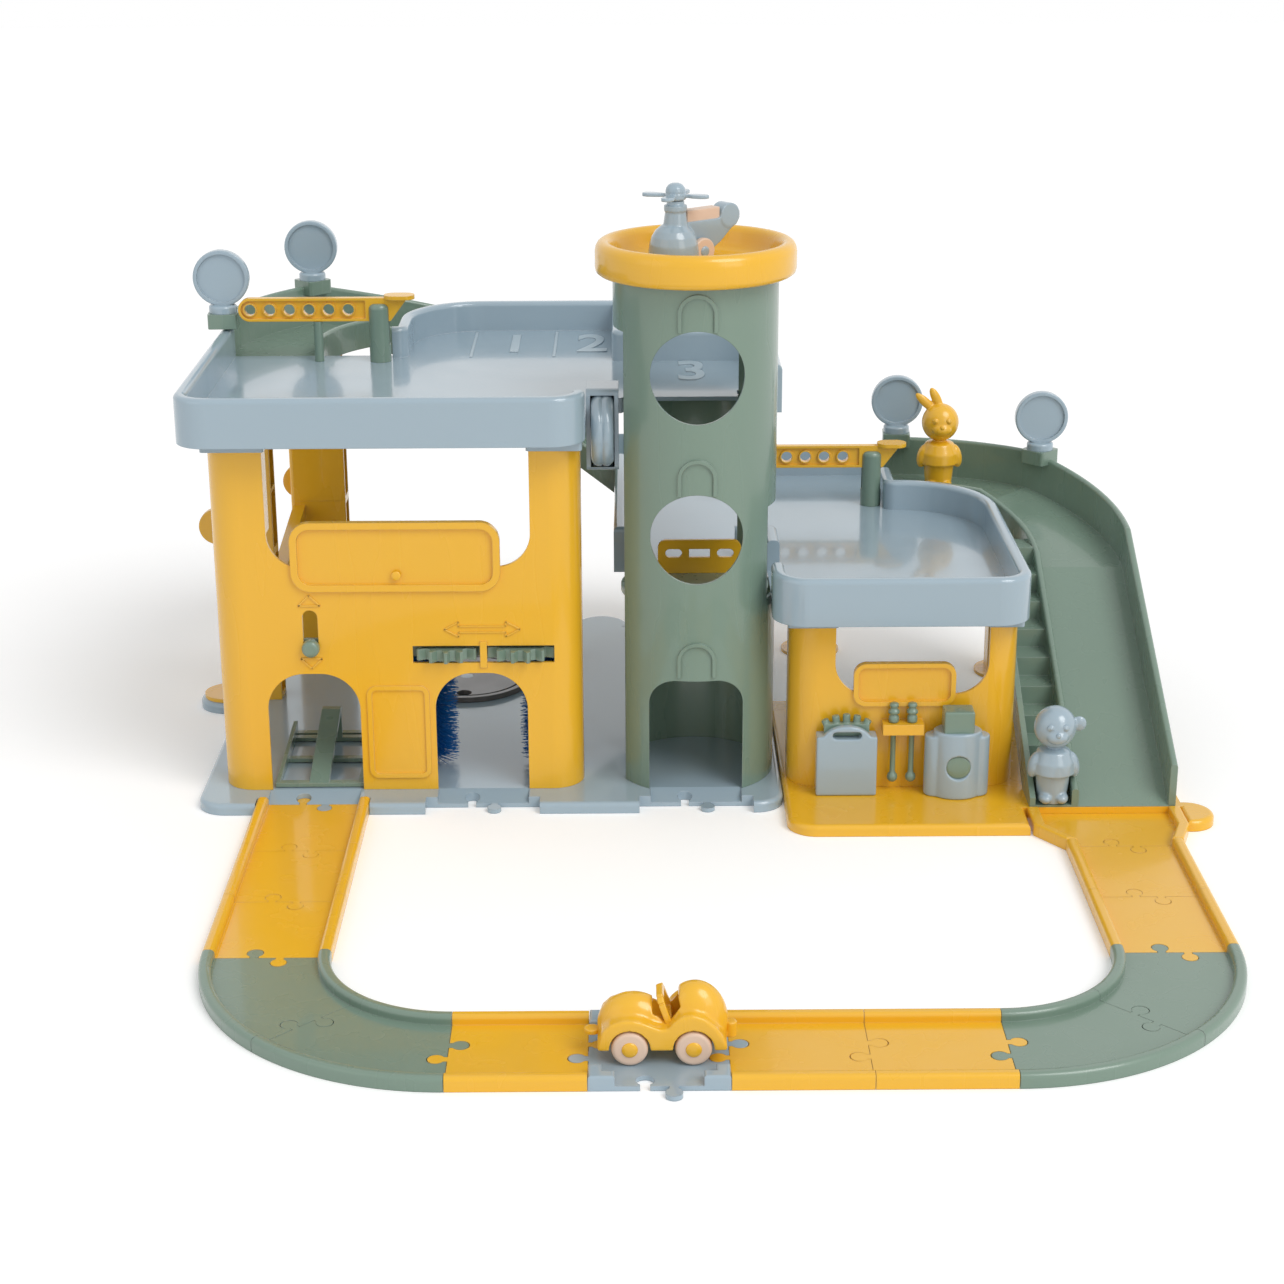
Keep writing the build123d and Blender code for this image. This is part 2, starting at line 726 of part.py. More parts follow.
def second_deck():
    side_x, side_y = right_ramp_centre
    back_y = side_y + right_ramp_outer
    bay_y = upper_ramp_centre[1] + upper_ramp_outer
    front = polygon((second_left_x, deck_front_y), (second_right_x, deck_front_y), (second_right_x, side_y),
                    (side_x, side_y + second_right_x - side_x), (second_left_x, side_y + second_right_x - side_x))
    front = fillet(front.vertices().filter_by_position(Axis.Y, deck_front_y - 1, deck_front_y + 1), deck_corner)
    round_corner = Pos(side_x, side_y) * Circle(second_right_x - side_x)
    rear = field(second_rear_left_x, side_x, tower_radius + 3, back_y)
    bay = field(second_rear_left_x, base_right_x, back_y - 1, bay_y)
    outline = front + round_corner + rear + bay
    body = deck_tray(outline, second_floor_z)
    plate_z = second_floor_z - deck_floor
    z0, z1 = plate_z - deck_skirt - 1, second_rim_z + 1
    body = body - tower_cut(z0, z1)
    half_side, half_rear = tower_side_door / 2 - 1, tower_rear_door / 2 - 1
    body = body - block(second_left_x - 1, second_left_x + rim_width + 1, -half_side, half_side, second_floor_z, z1)
    body = body - block(side_x - rim_width - 1, side_x + 1, side_y + right_ramp_inner + ramp_wall,
                        side_y + right_ramp_outer - ramp_wall, second_floor_z, z1)
    body = body - block(second_rear_left_x - 1, second_rear_left_x + rim_width + 1,
                        upper_ramp_centre[1] + upper_ramp_inner + ramp_wall, bay_y - ramp_wall, second_floor_z, z1)
    body = body - block(-half_rear, half_rear, tower_radius, tower_radius + 3 + rim_width + 1, second_floor_z, z1)
    body = body - block(second_left_x + rim_width, side_x - rim_width, side_y, side_y + second_right_x - side_x,
                        second_floor_z, z1)
    body = body - block(second_rear_left_x + rim_width, base_right_x - rim_width, back_y - rim_width - 2,
                        back_y + 2, second_floor_z, z1)
    body = body + block(platform_radius() + slide_gap, second_left_x + 6, -half_side, half_side,
                        plate_z, second_floor_z)
    body = body + block(-half_rear, half_rear, platform_back_y + 2, tower_radius + 6, plate_z, second_floor_z)
    for x0, x1 in ((right_wall_left_x, right_open_left_x), (right_open_right_x, right_wall_right_x)):
        body = body + column_sleeve(x0, x1, plate_z)
    return body


def platform_radius():
    return tower_inner - 2.0


# ---------------- ramps ----------------
def ramp_section(inner, outer):
    """Radial section: lane floor, high outer wall, low inner kerb and a lip below."""
    below = ramp_floor + ramp_underlip
    floor = Pos((inner + outer) / 2, -ramp_floor / 2) * Rectangle(outer - inner, ramp_floor)
    high = Pos(outer - ramp_wall / 2, (ramp_parapet - below) / 2) * Rectangle(ramp_wall, ramp_parapet + below)
    low = Pos(inner + ramp_wall / 2, (ramp_kerb - below) / 2) * Rectangle(ramp_wall, ramp_kerb + below)
    high = fillet(high.vertices().group_by(Axis.Y)[-1], ramp_wall / 2 - 0.2)
    low = fillet(low.vertices().group_by(Axis.Y)[-1], ramp_wall / 2 - 0.2)
    return floor + high + low


def curved_ramp(centre, inner, outer, top_z, bottom_z, run, level_angle, drop):
    """Level arc, sloping arc and steeper straight run, from the west round to the east."""
    slope_angle = 90 - level_angle
    section = ramp_section(inner, outer)
    level = revolve(Plane.XZ * section, Axis.Z, level_angle)
    level = Pos(0, 0, top_z) * Rot(0, 0, 180 - level_angle) * level
    radius = (inner + outer) / 2
    path = Helix(drop * 360 / slope_angle, drop, radius)
    winding = sweep(Plane.XZ * section, path=path, is_frenet=True)
    winding = Pos(0, 0, top_z - drop) * Rot(0, 0, 90) * winding
    end_face = Pos(0, 0, top_z - drop) * Rot(0, 0, 90) * (Plane.XZ * section)
    remaining = top_z - drop - bottom_z
    straight = extrude(end_face, math.hypot(run, remaining), dir=(run, 0, -remaining))
    return Pos(centre[0], centre[1], 0) * (level + winding + straight)


def lane_down(level_angle, drop, angle):
    """How far the lane has come down, angle degrees along the bend."""
    return max(angle - level_angle, 0) / (90 - level_angle) * drop


def mirror_seat(centre, inner, outer, top_z, bottom_z, run, level_angle, drop, angle):
    """Place and level of a mirror's block, angle degrees along the bend."""
    at = math.radians(180 - angle)
    radius = outer - ramp_wall / 2
    top = top_z - lane_down(level_angle, drop, angle) + ramp_parapet + mirror_block_rise
    return centre[0] + radius * math.cos(at), centre[1] + radius * math.sin(at), top, angle


def with_blocks(body, seats):
    for x, y, z, angle in seats:
        block_body = Box(mirror_block, mirror_block, mirror_block_height, align=(Align.CENTER, Align.CENTER, Align.MAX))
        block_body = fillet(block_body.edges().filter_by(Axis.Z), ramp_wall / 2)
        body = body + Pos(x, y, z) * Rot(0, 0, -angle) * block_body
    return body


def upper_ramp_values():
    run = second_rear_left_x - joint_gap - upper_ramp_centre[0]
    return (upper_ramp_centre, upper_ramp_inner, upper_ramp_outer, upper_floor_z, second_floor_z, run,
            upper_level_angle, upper_bend_drop)


def right_ramp_values():
    """The right ramp leaves the second deck eastward, so its turn starts a quarter later."""
    run = right_ramp_centre[1] - ramp_foot_y
    return ((0, 0), right_ramp_inner, right_ramp_outer, second_floor_z, base_height + ramp_foot_rise, run,
            right_level_angle, right_bend_drop)


def upper_seats():
    return [mirror_seat(*upper_ramp_values(), angle) for angle in mirror_angles[0]]


def right_seats():
    return [mirror_seat(*right_ramp_values(), angle) for angle in mirror_angles[1]]


def to_right(shape):
    return Pos(right_ramp_centre[0], right_ramp_centre[1], 0) * Rot(0, 0, -90) * shape


def upper_ramp():
    return with_blocks(curved_ramp(*upper_ramp_values()), upper_seats())


def stairs():
    """Flight between the second deck and the right ramp's inner wall, with a kerb at its left."""
    low, high = base_height, second_floor_z
    start, end = right_ramp_centre[1] + stair_start, ramp_foot_y
    rise = (high - low) / stair_count
    tread = (start - end) / stair_count
    points = []
    for step in range(stair_count - 1):
        top = high - (step + 1) * rise
        points += [(start - step * tread, top), (start - (step + 1) * tread, top)]
    foot_y = end + (rise + stair_skin) * tread / rise
    under = [(end, low), (foot_y, low), (start, high - rise - stair_skin)]
    landing = [(end + tread, low + stair_landing), (end, low + stair_landing)]
    left = second_right_x + joint_gap
    right = right_ramp_centre[0] + right_ramp_inner
    flight = facing_side(polygon(*points, *landing, *under), left, right)
    kerb = polygon((start, high + stair_kerb_rise), (end + tread, low + rise + stair_kerb_rise),
                   (end, low + stair_kerb_rise), *under)
    return flight + facing_side(kerb, left, left + stair_kerb)


def right_ramp():
    body = to_right(with_blocks(curved_ramp(*right_ramp_values()), right_seats())) + stairs()
    under = block(right_ramp_centre[0], right_base_right_x + 2 * lug_radius, ramp_foot_y - 1,
                  right_ramp_centre[1] + right_ramp_outer, -base_height, base_height)
    return body - under


# ---------------- supports ----------------
def channel_pillar(x, y, width, depth, z0, z1):
    """Moulded column, open to the right, with shelves that stiffen it."""
    half_w, half_d = width / 2, depth / 2
    outer = field(x - half_w, x + half_w, y - half_d, y + half_d)
    outer = fillet(outer.vertices().group_by(Axis.X)[0], pillar_skin)
    inner = field(x - half_w + pillar_skin, x + half_w + 1, y - half_d + pillar_skin, y + half_d - pillar_skin)
    body = slab(outer - inner, z0, z1)
    shelves = int((z1 - z0) / pillar_rib_pitch)
    for i in range(shelves + 1):
        at = z0 + i * (z1 - z0 - pillar_skin) / max(shelves, 1)
        body = body + slab(outer, at, at + pillar_skin)
    return body


def half_round_lug(x, y, z):
    """Flat clip lug that stands out of a pillar's left side."""
    sketch = Pos(x, z) * Circle(lug_radius) - Pos(x + lug_radius, z) * Rectangle(2 * lug_radius, 4 * lug_radius)
    return facing_front(sketch, y - pillar_skin, y + pillar_skin)


def ramp_support_lower():
    left_x, left_y = ramp_pillar_left
    back_x, back_y = ramp_pillar_back
    body = channel_pillar(left_x, left_y, pillar_width, pillar_depth, base_height, pillar_split_z)
    body = body + channel_pillar(back_x, back_y, ramp_pillar_width, pillar_depth, base_height, pillar_split_z)
    foot = Pos(*left_ear) * Circle(ear_radius - pillar_skin) + field(left_ear[0], left_x - pillar_width / 2 + 1,
                                                                 left_y - pillar_depth / 2, left_y + pillar_depth / 2)
    body = body + slab(foot, base_height, base_height + pillar_skin)
    start = left_y + pillar_depth / 2 - 1
    length = back_y - pillar_depth / 2 + 1 - start
    top, low = pillar_split_z - pillar_skin, pillar_split_z - beam_depth
    arch = polygon((start, low - beam_depth), (start, top - beam_depth / 2), (start + length, top),
                   (start + length, low - beam_depth))
    middle = start + length / 2
    arch = arch - Pos(middle, low - beam_depth) * Ellipse(length / 2 - 2, beam_depth * 1.3)
    beam_x = (left_x + back_x) / 2
    return body + facing_side(arch, beam_x - beam_thickness / 2, beam_x + beam_thickness / 2)


def ramp_support_upper():
    left_x, left_y = ramp_pillar_left
    back_x, back_y = ramp_pillar_back
    left = channel_pillar(left_x, left_y, pillar_width, pillar_depth, pillar_split_z, upper_floor_z - deck_floor)
    lug_x = left_x - pillar_width / 2
    arm = block(lug_x - lug_radius, lug_x + 1, left_y - pillar_skin, left_y + pillar_skin,
                lug_z - lug_radius, lug_z + lug_radius)
    left = left + arm + half_round_lug(lug_x - lug_radius, left_y, lug_z)
    far = math.atan2(back_y + pillar_depth / 2 - upper_ramp_centre[1],
                     back_x + ramp_pillar_width / 2 - upper_ramp_centre[0])
    under = lowest_under_ramp(upper_ramp_values(), 180 - math.degrees(far))
    back = channel_pillar(back_x, back_y, ramp_pillar_width, pillar_depth, pillar_split_z, under)
    back = back + half_round_lug(back_x - ramp_pillar_width / 2 + lug_radius / 2, back_y, pillar_split_z + lug_radius + joint_gap)
    return Compound([one(left), one(back)])


def lowest_under_ramp(values, angle):
    """Height just below a ramp's lip at an angle along its bend."""
    top_z, level_angle, drop = values[3], values[6], values[7]
    return top_z - lane_down(level_angle, drop, angle) - ramp_floor - ramp_underlip - joint_gap


def floor_foot(x, y):
    """Round foot plate of a pillar that stands beside the base plates."""
    return post(x, y, 0, base_skin, pillar_width * 0.8)


def rear_pillars():
    pillars = []
    for (x, y), top in ((garage_rear_pillar, upper_floor_z), (landing_pillar, second_floor_z)):
        pillars.append(one(channel_pillar(x, y, pillar_width, pillar_depth, base_height, top - deck_floor)))
    x, y = second_rear_pillar
    last = channel_pillar(x, y, pillar_width, pillar_depth, 0, second_floor_z - deck_floor)
    pillars.append(one(last + floor_foot(x, y)))
    return Compound(pillars)


def right_ramp_pillar():
    reach = (right_ramp_inner + right_ramp_outer) / 2
    x = right_ramp_centre[0] + reach * math.cos(math.radians(45))
    y = right_ramp_centre[1] + reach * math.sin(math.radians(45))
    half_turn = math.degrees(math.hypot(pillar_width, pillar_depth) / 2 / reach)
    top = lowest_under_ramp(right_ramp_values(), 45 + half_turn) + ramp_underlip
    return one(channel_pillar(x, y, pillar_width, pillar_depth, 0, top) + floor_foot(x, y))


# ---------------- lift tower ----------------
def tower_ring(z0, z1):
    return post(0, 0, z0, z1, tower_radius) - post(0, 0, z0 - 1, z1 + 1, tower_inner)


def horseshoe(top_z):
    """Raised inverted U on the tower's face."""
    half = horseshoe_width / 2
    outer = field(-half, half, top_z - horseshoe_height, top_z - half) + Pos(0, top_z - half) * Circle(half)
    inner_half = half - horseshoe_rib
    inner = field(-inner_half, inner_half, top_z - horseshoe_height - 1, top_z - half)
    inner = inner + Pos(0, top_z - half) * Circle(inner_half)
    skin = post(0, 0, base_height, tower_top_z, tower_radius + horseshoe_proud)
    skin = skin - post(0, 0, base_height - 1, tower_top_z + 1, tower_radius - 0.5)
    return facing_front(outer - inner, -tower_radius - 2 * horseshoe_proud, -tower_radius + tower_radius / 4) & skin


def side_doors(z0, z1, x0, x1):
    half = tower_side_door / 2
    return block(x0, x1, -half, half, z0, z1)


def cut_doors(body):
    body = body - side_doors(base_height - 1, tower_door_top_z, -tower_radius - 1, -tower_radius / 4)
    return body - side_doors(second_floor_z - deck_floor, second_floor_z + lift_door_height,
                             tower_radius / 4, tower_radius + 1)


def tower_front_shell():
    body = tower_ring(base_height, tower_top_z)
    body = body - block(-tower_radius - 1, tower_radius + 1, -joint_gap / 2, tower_radius + 1,
                        base_height - 1, tower_top_z + 1)
    body = cut_doors(body)
    for z in window_heights_z:
        body = body - rod_y(0, -tower_radius - 1, -tower_radius / 4, z, window_radius)
    arch = soft_field(-tower_arch_width / 2, tower_arch_width / 2, -tower_arch_top_z, tower_arch_top_z,
                      tower_arch_corner)
    body = body - facing_front(arch, -tower_radius - 1, -tower_radius / 4)
    for z in window_heights_z:
        body = body + horseshoe(z + window_radius + horseshoe_height - 1)
    body = body + horseshoe(tower_arch_top_z + horseshoe_height + horseshoe_rib)
    for angle in rail_angles:
        rail = block(tower_inner - rail_depth, tower_inner + 0.5, -rail_width / 2, rail_width / 2,
                     base_height, tower_top_z)
        body = body + Rot(0, 0, angle) * rail
    return body


def tower_rear_shell():
    body = tower_ring(base_height, tower_top_z)
    body = body - block(-tower_radius - 1, tower_radius + 1, -tower_radius - 1, joint_gap / 2,
                        base_height - 1, tower_top_z + 1)
    body = cut_doors(body)
    half = tower_rear_door / 2
    for z0, z1 in ((second_floor_z - deck_floor, second_floor_z + lift_door_height),
                   (upper_floor_z - deck_floor, tower_door_top_z)):
        body = body - block(-half, half, tower_radius / 4, tower_radius + 1, z0, z1)
    return body


def lift_platform():
    radius = platform_radius()
    plate = Circle(radius) - field(-radius, radius, platform_back_y, 2 * radius)
    for angle in rail_angles:
        notch = field(tower_inner - rail_depth - slide_gap, tower_radius, -rail_width / 2 - slide_gap,
                      rail_width / 2 + slide_gap)
        plate = plate - Rot(0, 0, angle) * notch
    return slab(plate, second_floor_z - platform_thickness, second_floor_z)


def lift_guard():
    """Low fence across the platform's back, with three openings."""
    z0 = second_floor_z
    middle = (guard_left_x + guard_right_x) / 2
    width = guard_right_x - guard_left_x
    outer = field(guard_left_x, guard_right_x, z0, z0 + guard_height)
    outer = fillet(outer.vertices().group_by(Axis.Y)[-1], guard_height / 4)
    hole_z = z0 + guard_height * 0.6
    for at in (-width * 0.31, width * 0.31):
        outer = outer - Pos(middle + at, hole_z) * SlotOverall(width / 5, guard_height / 4)
    outer = outer - Pos(middle, hole_z) * Rectangle(width / 4, guard_height / 4)
    return facing_front(outer, guard_y, guard_y + guard_thickness)


# ---------------- crank ----------------
def crank_left_x():
    return deck_right_x + crank_cheek + slide_gap


def crank_right_x():
    return crank_housing_right_x - crank_cheek - slide_gap


def crank_housing():
    body = block(deck_right_x, crank_housing_right_x, crank_housing_front_y, crank_housing_back_y,
                 crank_housing_bottom_z, crank_housing_top_z)
    body = fillet(body.edges().filter_by(Axis.X), crank_housing_round)
    room = rod_x(crank_left_x() - slide_gap, crank_right_x() + slide_gap, crank_y, crank_z, crank_radius + slide_gap)
    body = body - room
    bore = rod_x(deck_right_x - 1, crank_housing_right_x + 1, crank_y, crank_z, crank_axle_radius + running_gap)
    return body - bore


def crank_wheel():
    """Grooved hand wheel on a short axle between the housing's cheeks."""
    x0, x1 = crank_left_x(), crank_right_x()
    wheel = rod_x(x0, x1, crank_y, crank_z, crank_radius)
    wheel = fillet(wheel.edges().filter_by(GeomType.CIRCLE), crank_groove)
    middle = (x0 + x1) / 2
    groove = rod_x(middle - crank_groove / 2, middle + crank_groove / 2, crank_y, crank_z, crank_radius + 1)
    groove = groove - rod_x(x0, x1, crank_y, crank_z, crank_radius - crank_groove)
    axle = rod_x(deck_right_x + joint_gap, crank_housing_right_x, crank_y, crank_z, crank_axle_radius)
    return wheel - groove + axle


# ---------------- helipad ----------------
def helipad():
    """Landing bowl turned in one piece, its skirt round the tower's top."""
    outer, rim = pad_radius, pad_rim_top_z
    inner = pad_radius - 3 * pad_floor
    floor_top = tower_top_z + pad_floor
    bore = tower_radius + joint_gap
    profile = polygon((0, tower_top_z), (bore, tower_top_z), (bore, pad_skirt_z), (outer - pad_floor, pad_skirt_z),
                      (outer, pad_skirt_z + pad_floor), (outer, rim), (inner, rim), (inner - 2 * pad_floor, floor_top),
                      (0, floor_top))
    top = [v for v in profile.vertices() if v.Y > rim - 0.1]
    profile = fillet(top, pad_floor * 1.4)
    return revolve(Plane.XZ * profile, Axis.Z)


# ---------------- gates and mirrors ----------------
def gate_post(x, y, floor_z):
    """Forked post whose two prongs carry the arm's pin, and the rest for the arm."""
    top = floor_z + gate_post_height
    body = post(x, y, floor_z, top, gate_post_radius)
    body = fillet(body.edges().group_by(Axis.Z)[-1], gate_post_radius / 2)
    body = body - block(x - gate_post_radius - 1, x + gate_post_radius + 1, y - gate_slot / 2, y + gate_slot / 2,
                        top - gate_slot_depth, top + 1)
    return body + rod_y(x, y - gate_post_radius * 0.75, y + gate_post_radius * 0.75, floor_z + gate_pivot_height,
                        gate_pin_radius)


def gate_posts():
    first = gate_post(*upper_gate, upper_floor_z)
    second = gate_post(*second_gate, second_floor_z)
    rest_x = upper_gate[0] - gate_rest_distance
    rest_top = upper_floor_z + gate_pivot_height - gate_arm_height / 2 - joint_gap
    rest = post(rest_x, upper_gate[1], upper_floor_z, rest_top, gate_rest_radius)
    return Compound([first, second, rest])


def gate_reach():
    """From the pin to the arm's tip, which stops short of the upper ramp's outer wall."""
    wall_x = upper_ramp_centre[0] - upper_ramp_outer + ramp_wall
    return upper_gate[0] - wall_x - gate_tip_gap


def gate_arm(x, y, floor_z):
    """Holed arm with a raised edge, a web past the pin and a thumb pad on top."""
    half_h, half_t = gate_arm_height / 2, gate_arm_thickness / 2
    reach = gate_reach()
    middle = (half_h - reach) / 2
    outline = Pos(middle, 0) * SlotOverall(reach + half_h, gate_arm_height)
    web = polygon((0, -half_h), (half_h, -half_h), (gate_lever_length, half_h), (0, half_h))
    body = facing_front(outline + web, -half_t, half_t)
    inner = Pos(middle, 0) * SlotOverall(reach + half_h - 2 * gate_edge, gate_arm_height - 2 * gate_edge)
    inner = inner - field(-gate_post_radius - gate_edge, gate_lever_length, -half_h, half_h)
    pitch = (reach - half_h - gate_post_radius) / gate_arm_holes
    holes_x = [half_h - reach + i * pitch for i in range(gate_arm_holes)]
    for at in holes_x:
        inner = inner - Pos(at, 0) * Circle(gate_arm_hole + gate_edge / 2)
    body = body - facing_front(inner, -half_t - 1, -half_t + gate_edge)
    body = body - facing_front(inner, half_t - gate_edge, half_t + 1)
    for at in holes_x:
        body = body - rod_y(at, -half_t - 1, half_t + 1, 0, gate_arm_hole)
    pad = Pos(gate_pad_start + gate_pad_length / 2, 0) * SlotOverall(gate_pad_length, gate_pad_width)
    body = body + slab(pad, half_h - 1, half_h + gate_edge)
    body = body - rod_y(0, -half_t - 1, half_t + 1, 0, gate_pin_radius + running_gap)
    return Pos(x, y, floor_z + gate_pivot_height) * body


def mirror(x, y, z):
    """Round mirror, its face recessed inside a rim, on a turned foot."""
    centre = z + mirror_foot_height + mirror_radius - 1
    disc = rod_y(x, y - mirror_thickness / 2, y + mirror_thickness / 2, centre, mirror_radius)
    disc = fillet(disc.edges().filter_by(GeomType.CIRCLE), mirror_recess / 2)
    disc = disc - rod_y(x, y - mirror_thickness, y - mirror_thickness / 2 + mirror_recess, centre,
                        mirror_radius - mirror_rim)
    foot = post(x, y, z, z + mirror_foot_height, mirror_foot_radius)
    foot = fillet(foot.edges().group_by(Axis.Z)[-1], mirror_recess)
    return disc + foot


def mirrors():
    discs = [mirror(x, y, z) for x, y, z, angle in upper_seats()]
    for seat in right_seats():
        spot = to_right(Pos(*seat[:3]) * Box(1, 1, 1)).center()
        discs.append(mirror(spot.X, spot.Y, seat[2]))
    return Compound(discs)


# ---------------- turntable ----------------
def turntable():
    x, y = turntable_centre
    z0 = base_height + joint_gap
    body = post(x, y, z0, base_height + turntable_height, turntable_radius)
    body = body - post(x, y, z0 - 1, base_height + turntable_height + 1, turntable_pin_radius + running_gap)
    finger = post(x, y - turntable_radius * 0.78, z0 - 1, base_height + turntable_height + 1, finger_hole_radius)
    groove = post(x, y, base_height + turntable_height - 1, base_height + turntable_height + 1, turntable_radius - 4)
    groove = groove - post(x, y, base_height, base_height + 2 * turntable_height, turntable_radius - 6)
    return body - finger - groove


# ---------------- car wash ----------------
def gear_sketch(pitch_radius, teeth):
    """Wheel with tapered teeth, thin enough to run freely in its mate."""
    tip, root = pitch_radius + tooth_addendum, pitch_radius + tooth_addendum - tooth_height
    pitch_arc = 2 * math.pi * pitch_radius / teeth
    wheel = Circle(root)
    for i in range(teeth):
        points = ((root - 1, -0.27 * pitch_arc), (root, -0.27 * pitch_arc), (tip, -0.1 * pitch_arc),
                  (tip, 0.1 * pitch_arc), (root, 0.27 * pitch_arc), (root - 1, 0.27 * pitch_arc))
        wheel = wheel + Rot(0, 0, 360 * i / teeth) * polygon(*points)
    return wheel


def wash_gear(side):
    """Hand wheel in the wall's window; side is -1 for the left one and 1 for the right."""
    x, y = wash_x + side * wash_gear_pitch, gear_axis_y()
    turn = 0 if side < 0 else 180 / wash_gear_teeth
    body = slab(gear_sketch(wash_gear_pitch, wash_gear_teeth), 0, wash_gear_height)
    body = Pos(x, y, wash_gear_z) * Rot(0, 0, turn) * body
    return body - post(x, y, wash_gear_z - 1, wash_gear_z + wash_gear_height + 1, gear_pin_radius + running_gap)


def wash_bracket():
    """Plate behind the wall that holds the gears' pins and the brushes' upper ends."""
    z0 = wash_gear_z + wash_gear_height + wash_plate
    half = wash_spread() + 2 * brush_gear_radius() / 2
    back_y = brush_axis_y() + brush_gear_radius()
    plate = field(wash_x - half, wash_x + half, wall_front_y + wall, back_y)
    plate = fillet(plate.vertices(), bracket_corner)
    body = slab(plate, z0, z0 + wash_plate)
    for side in (-1, 1):
        body = body + post(wash_x + side * wash_gear_pitch, gear_axis_y(), wash_gear_z - joint_gap,
                           z0 + 0.5, gear_pin_radius)
        x = wash_x + side * wash_spread()
        body = body - post(x, brush_axis_y(), z0 - 1, z0 + wash_plate + 1, brush_shaft_radius + running_gap)
    return body


def brush_spindle(side):
    """Shaft with its small gear and the plain core that the bristles grow from."""
    x, y = wash_x + side * wash_spread(), brush_axis_y()
    top = wash_gear_z + wash_gear_height + 2 * wash_plate - joint_gap
    shaft = post(x, y, base_height - base_skin / 2, top, brush_shaft_radius)
    gear = slab(gear_sketch(brush_gear_radius(), brush_gear_teeth), 0, wash_gear_height)
    driver_x, driver_turn = wash_x + side * wash_gear_pitch, 0 if side < 0 else 180 / wash_gear_teeth
    toward = math.degrees(math.atan2(y - gear_axis_y(), x - driver_x))
    driver_pitch, pitch = 360 / wash_gear_teeth, 360 / brush_gear_teeth
    share = ((toward - driver_turn) / driver_pitch) % 1
    turn = toward + 180 - pitch * (0.5 - share)
    return shaft + Pos(x, y, wash_gear_z) * Rot(0, 0, turn) * gear


def brush_core():
    return Rot(0, 0, 180 / brush_sides) * RegularPolygon(brush_core_radius, brush_sides, major_radius=False)


def wash_brush(side):
    """Many-sided sleeve with rows of square bristles, open for its shaft."""
    x, y = wash_x + side * wash_spread(), brush_axis_y()
    height = brush_rows * brush_row_pitch
    core = slab(brush_core(), 0, height)
    strands = []
    for row in range(brush_rows):
        at = (row + 0.5) * brush_row_pitch
        for i in range(brush_sides):
            strand = block(brush_core_radius - 1, brush_reach, -bristle / 2, bristle / 2,
                           at - bristle / 2, at + bristle / 2)
            strands.append(Rot(0, 0, 360 * i / brush_sides) * strand)
    body = core.fuse(*strands)
    body = body - post(0, 0, -1, height + 1, brush_shaft_radius + running_gap / 2)
    return Pos(x, y, brush_bottom_z) * body


# ---------------- hoist ----------------
def hoist_tray():
    """Tray that lifts a car: two rising side rails, cross bars and a sloping plank."""
    x0, x1 = hoist_x - hoist_width / 2, hoist_x + hoist_width / 2
    y0 = wall_front_y + wall + slide_gap
    y1 = y0 + hoist_length
    z0 = base_height + slide_gap
    rail = polygon((y0, z0), (y0, z0 + hoist_rail), (y1, z0 + 3.5 * hoist_rail), (y1, z0))
    body = facing_side(rail, x0, x0 + hoist_rail) + facing_side(rail, x1 - hoist_rail, x1)
    for y in (y0, y0 + hoist_length * 0.45, y1 - 2 * hoist_rail):
        body = body + block(x0, x1, y, y + 2 * hoist_rail, z0, z0 + hoist_rail)
    plank_x = hoist_x
    top = z0 + hoist_plank_rise
    plank_y = y0 + hoist_length * 0.85
    plank = polygon((y0, z0), (y0 + hoist_rail, z0), (plank_y, top - hoist_rail), (plank_y, z0),
                    (plank_y + hoist_rail, z0), (plank_y + hoist_rail, top), (plank_y - hoist_rail, top),
                    (y0, z0 + hoist_rail))
    body = body + facing_side(plank, plank_x - hoist_plank / 2, plank_x + hoist_plank / 2)
    return body + block(x0, x1, plank_y, plank_y + 2 * hoist_rail, z0, z0 + hoist_rail)


def hoist_lever():
    """Strip behind the wall from the tray up to the slot, with the knob in front."""
    x0 = hoist_x + arch_width / 2 + slide_gap
    x1 = x0 + hoist_strip
    y0 = wall_front_y + wall + slide_gap
    y1 = y0 + hoist_rail
    z0 = base_height + slide_gap
    knob_z = hoist_slot[0] + hoist_slot_width / 2 + slide_gap
    strip = field(x0, x1, z0, knob_z + hoist_strip / 2)
    strip = strip + field(hoist_x + hoist_width / 2, x1, z0, z0 + hoist_rail)
    arm = field(hoist_x - hoist_strip / 2, x1, knob_z - hoist_strip / 2, knob_z + hoist_strip / 2)
    plate = facing_front(strip + arm, y0, y1)
    neck = rod_y(hoist_x, wall_front_y - slide_gap, y0 + 1, knob_z, hoist_slot_width / 2 - slide_gap)
    knob = rod_y(hoist_x, wall_front_y - slide_gap - hoist_knob_radius, wall_front_y - slide_gap, knob_z,
                 hoist_knob_radius)
    knob = fillet(knob.edges().group_by(Axis.Y)[0], hoist_knob_radius / 2)
    return plate + neck + knob


# ---------------- stand-ups on the forecourt ----------------
def fuel_pump():
    """Three-lobed housing with a round dial recess and a mouth for its cap."""
    y1 = wall_front_y - joint_gap
    y0 = y1 - pump_depth
    middle = (y0 + y1) / 2
    lobe = pump_depth / 2
    side = pump_width / 2 - lobe
    plan = Pos(pump_x - side, middle) * Circle(lobe) + Pos(pump_x + side, middle) * Circle(lobe)
    plan = plan + field(pump_x - side, pump_x + side, y0 + 2, y1 - 2)
    top = base_height + pump_height
    body = slab(plan, base_height, top)
    body = fillet(body.edges().group_by(Axis.Z)[-1], lobe / 4)
    recess = rod_y(pump_x, y0 - 1, y0 + 5, pump_dial_z, pump_dial_radius)
    return body - recess


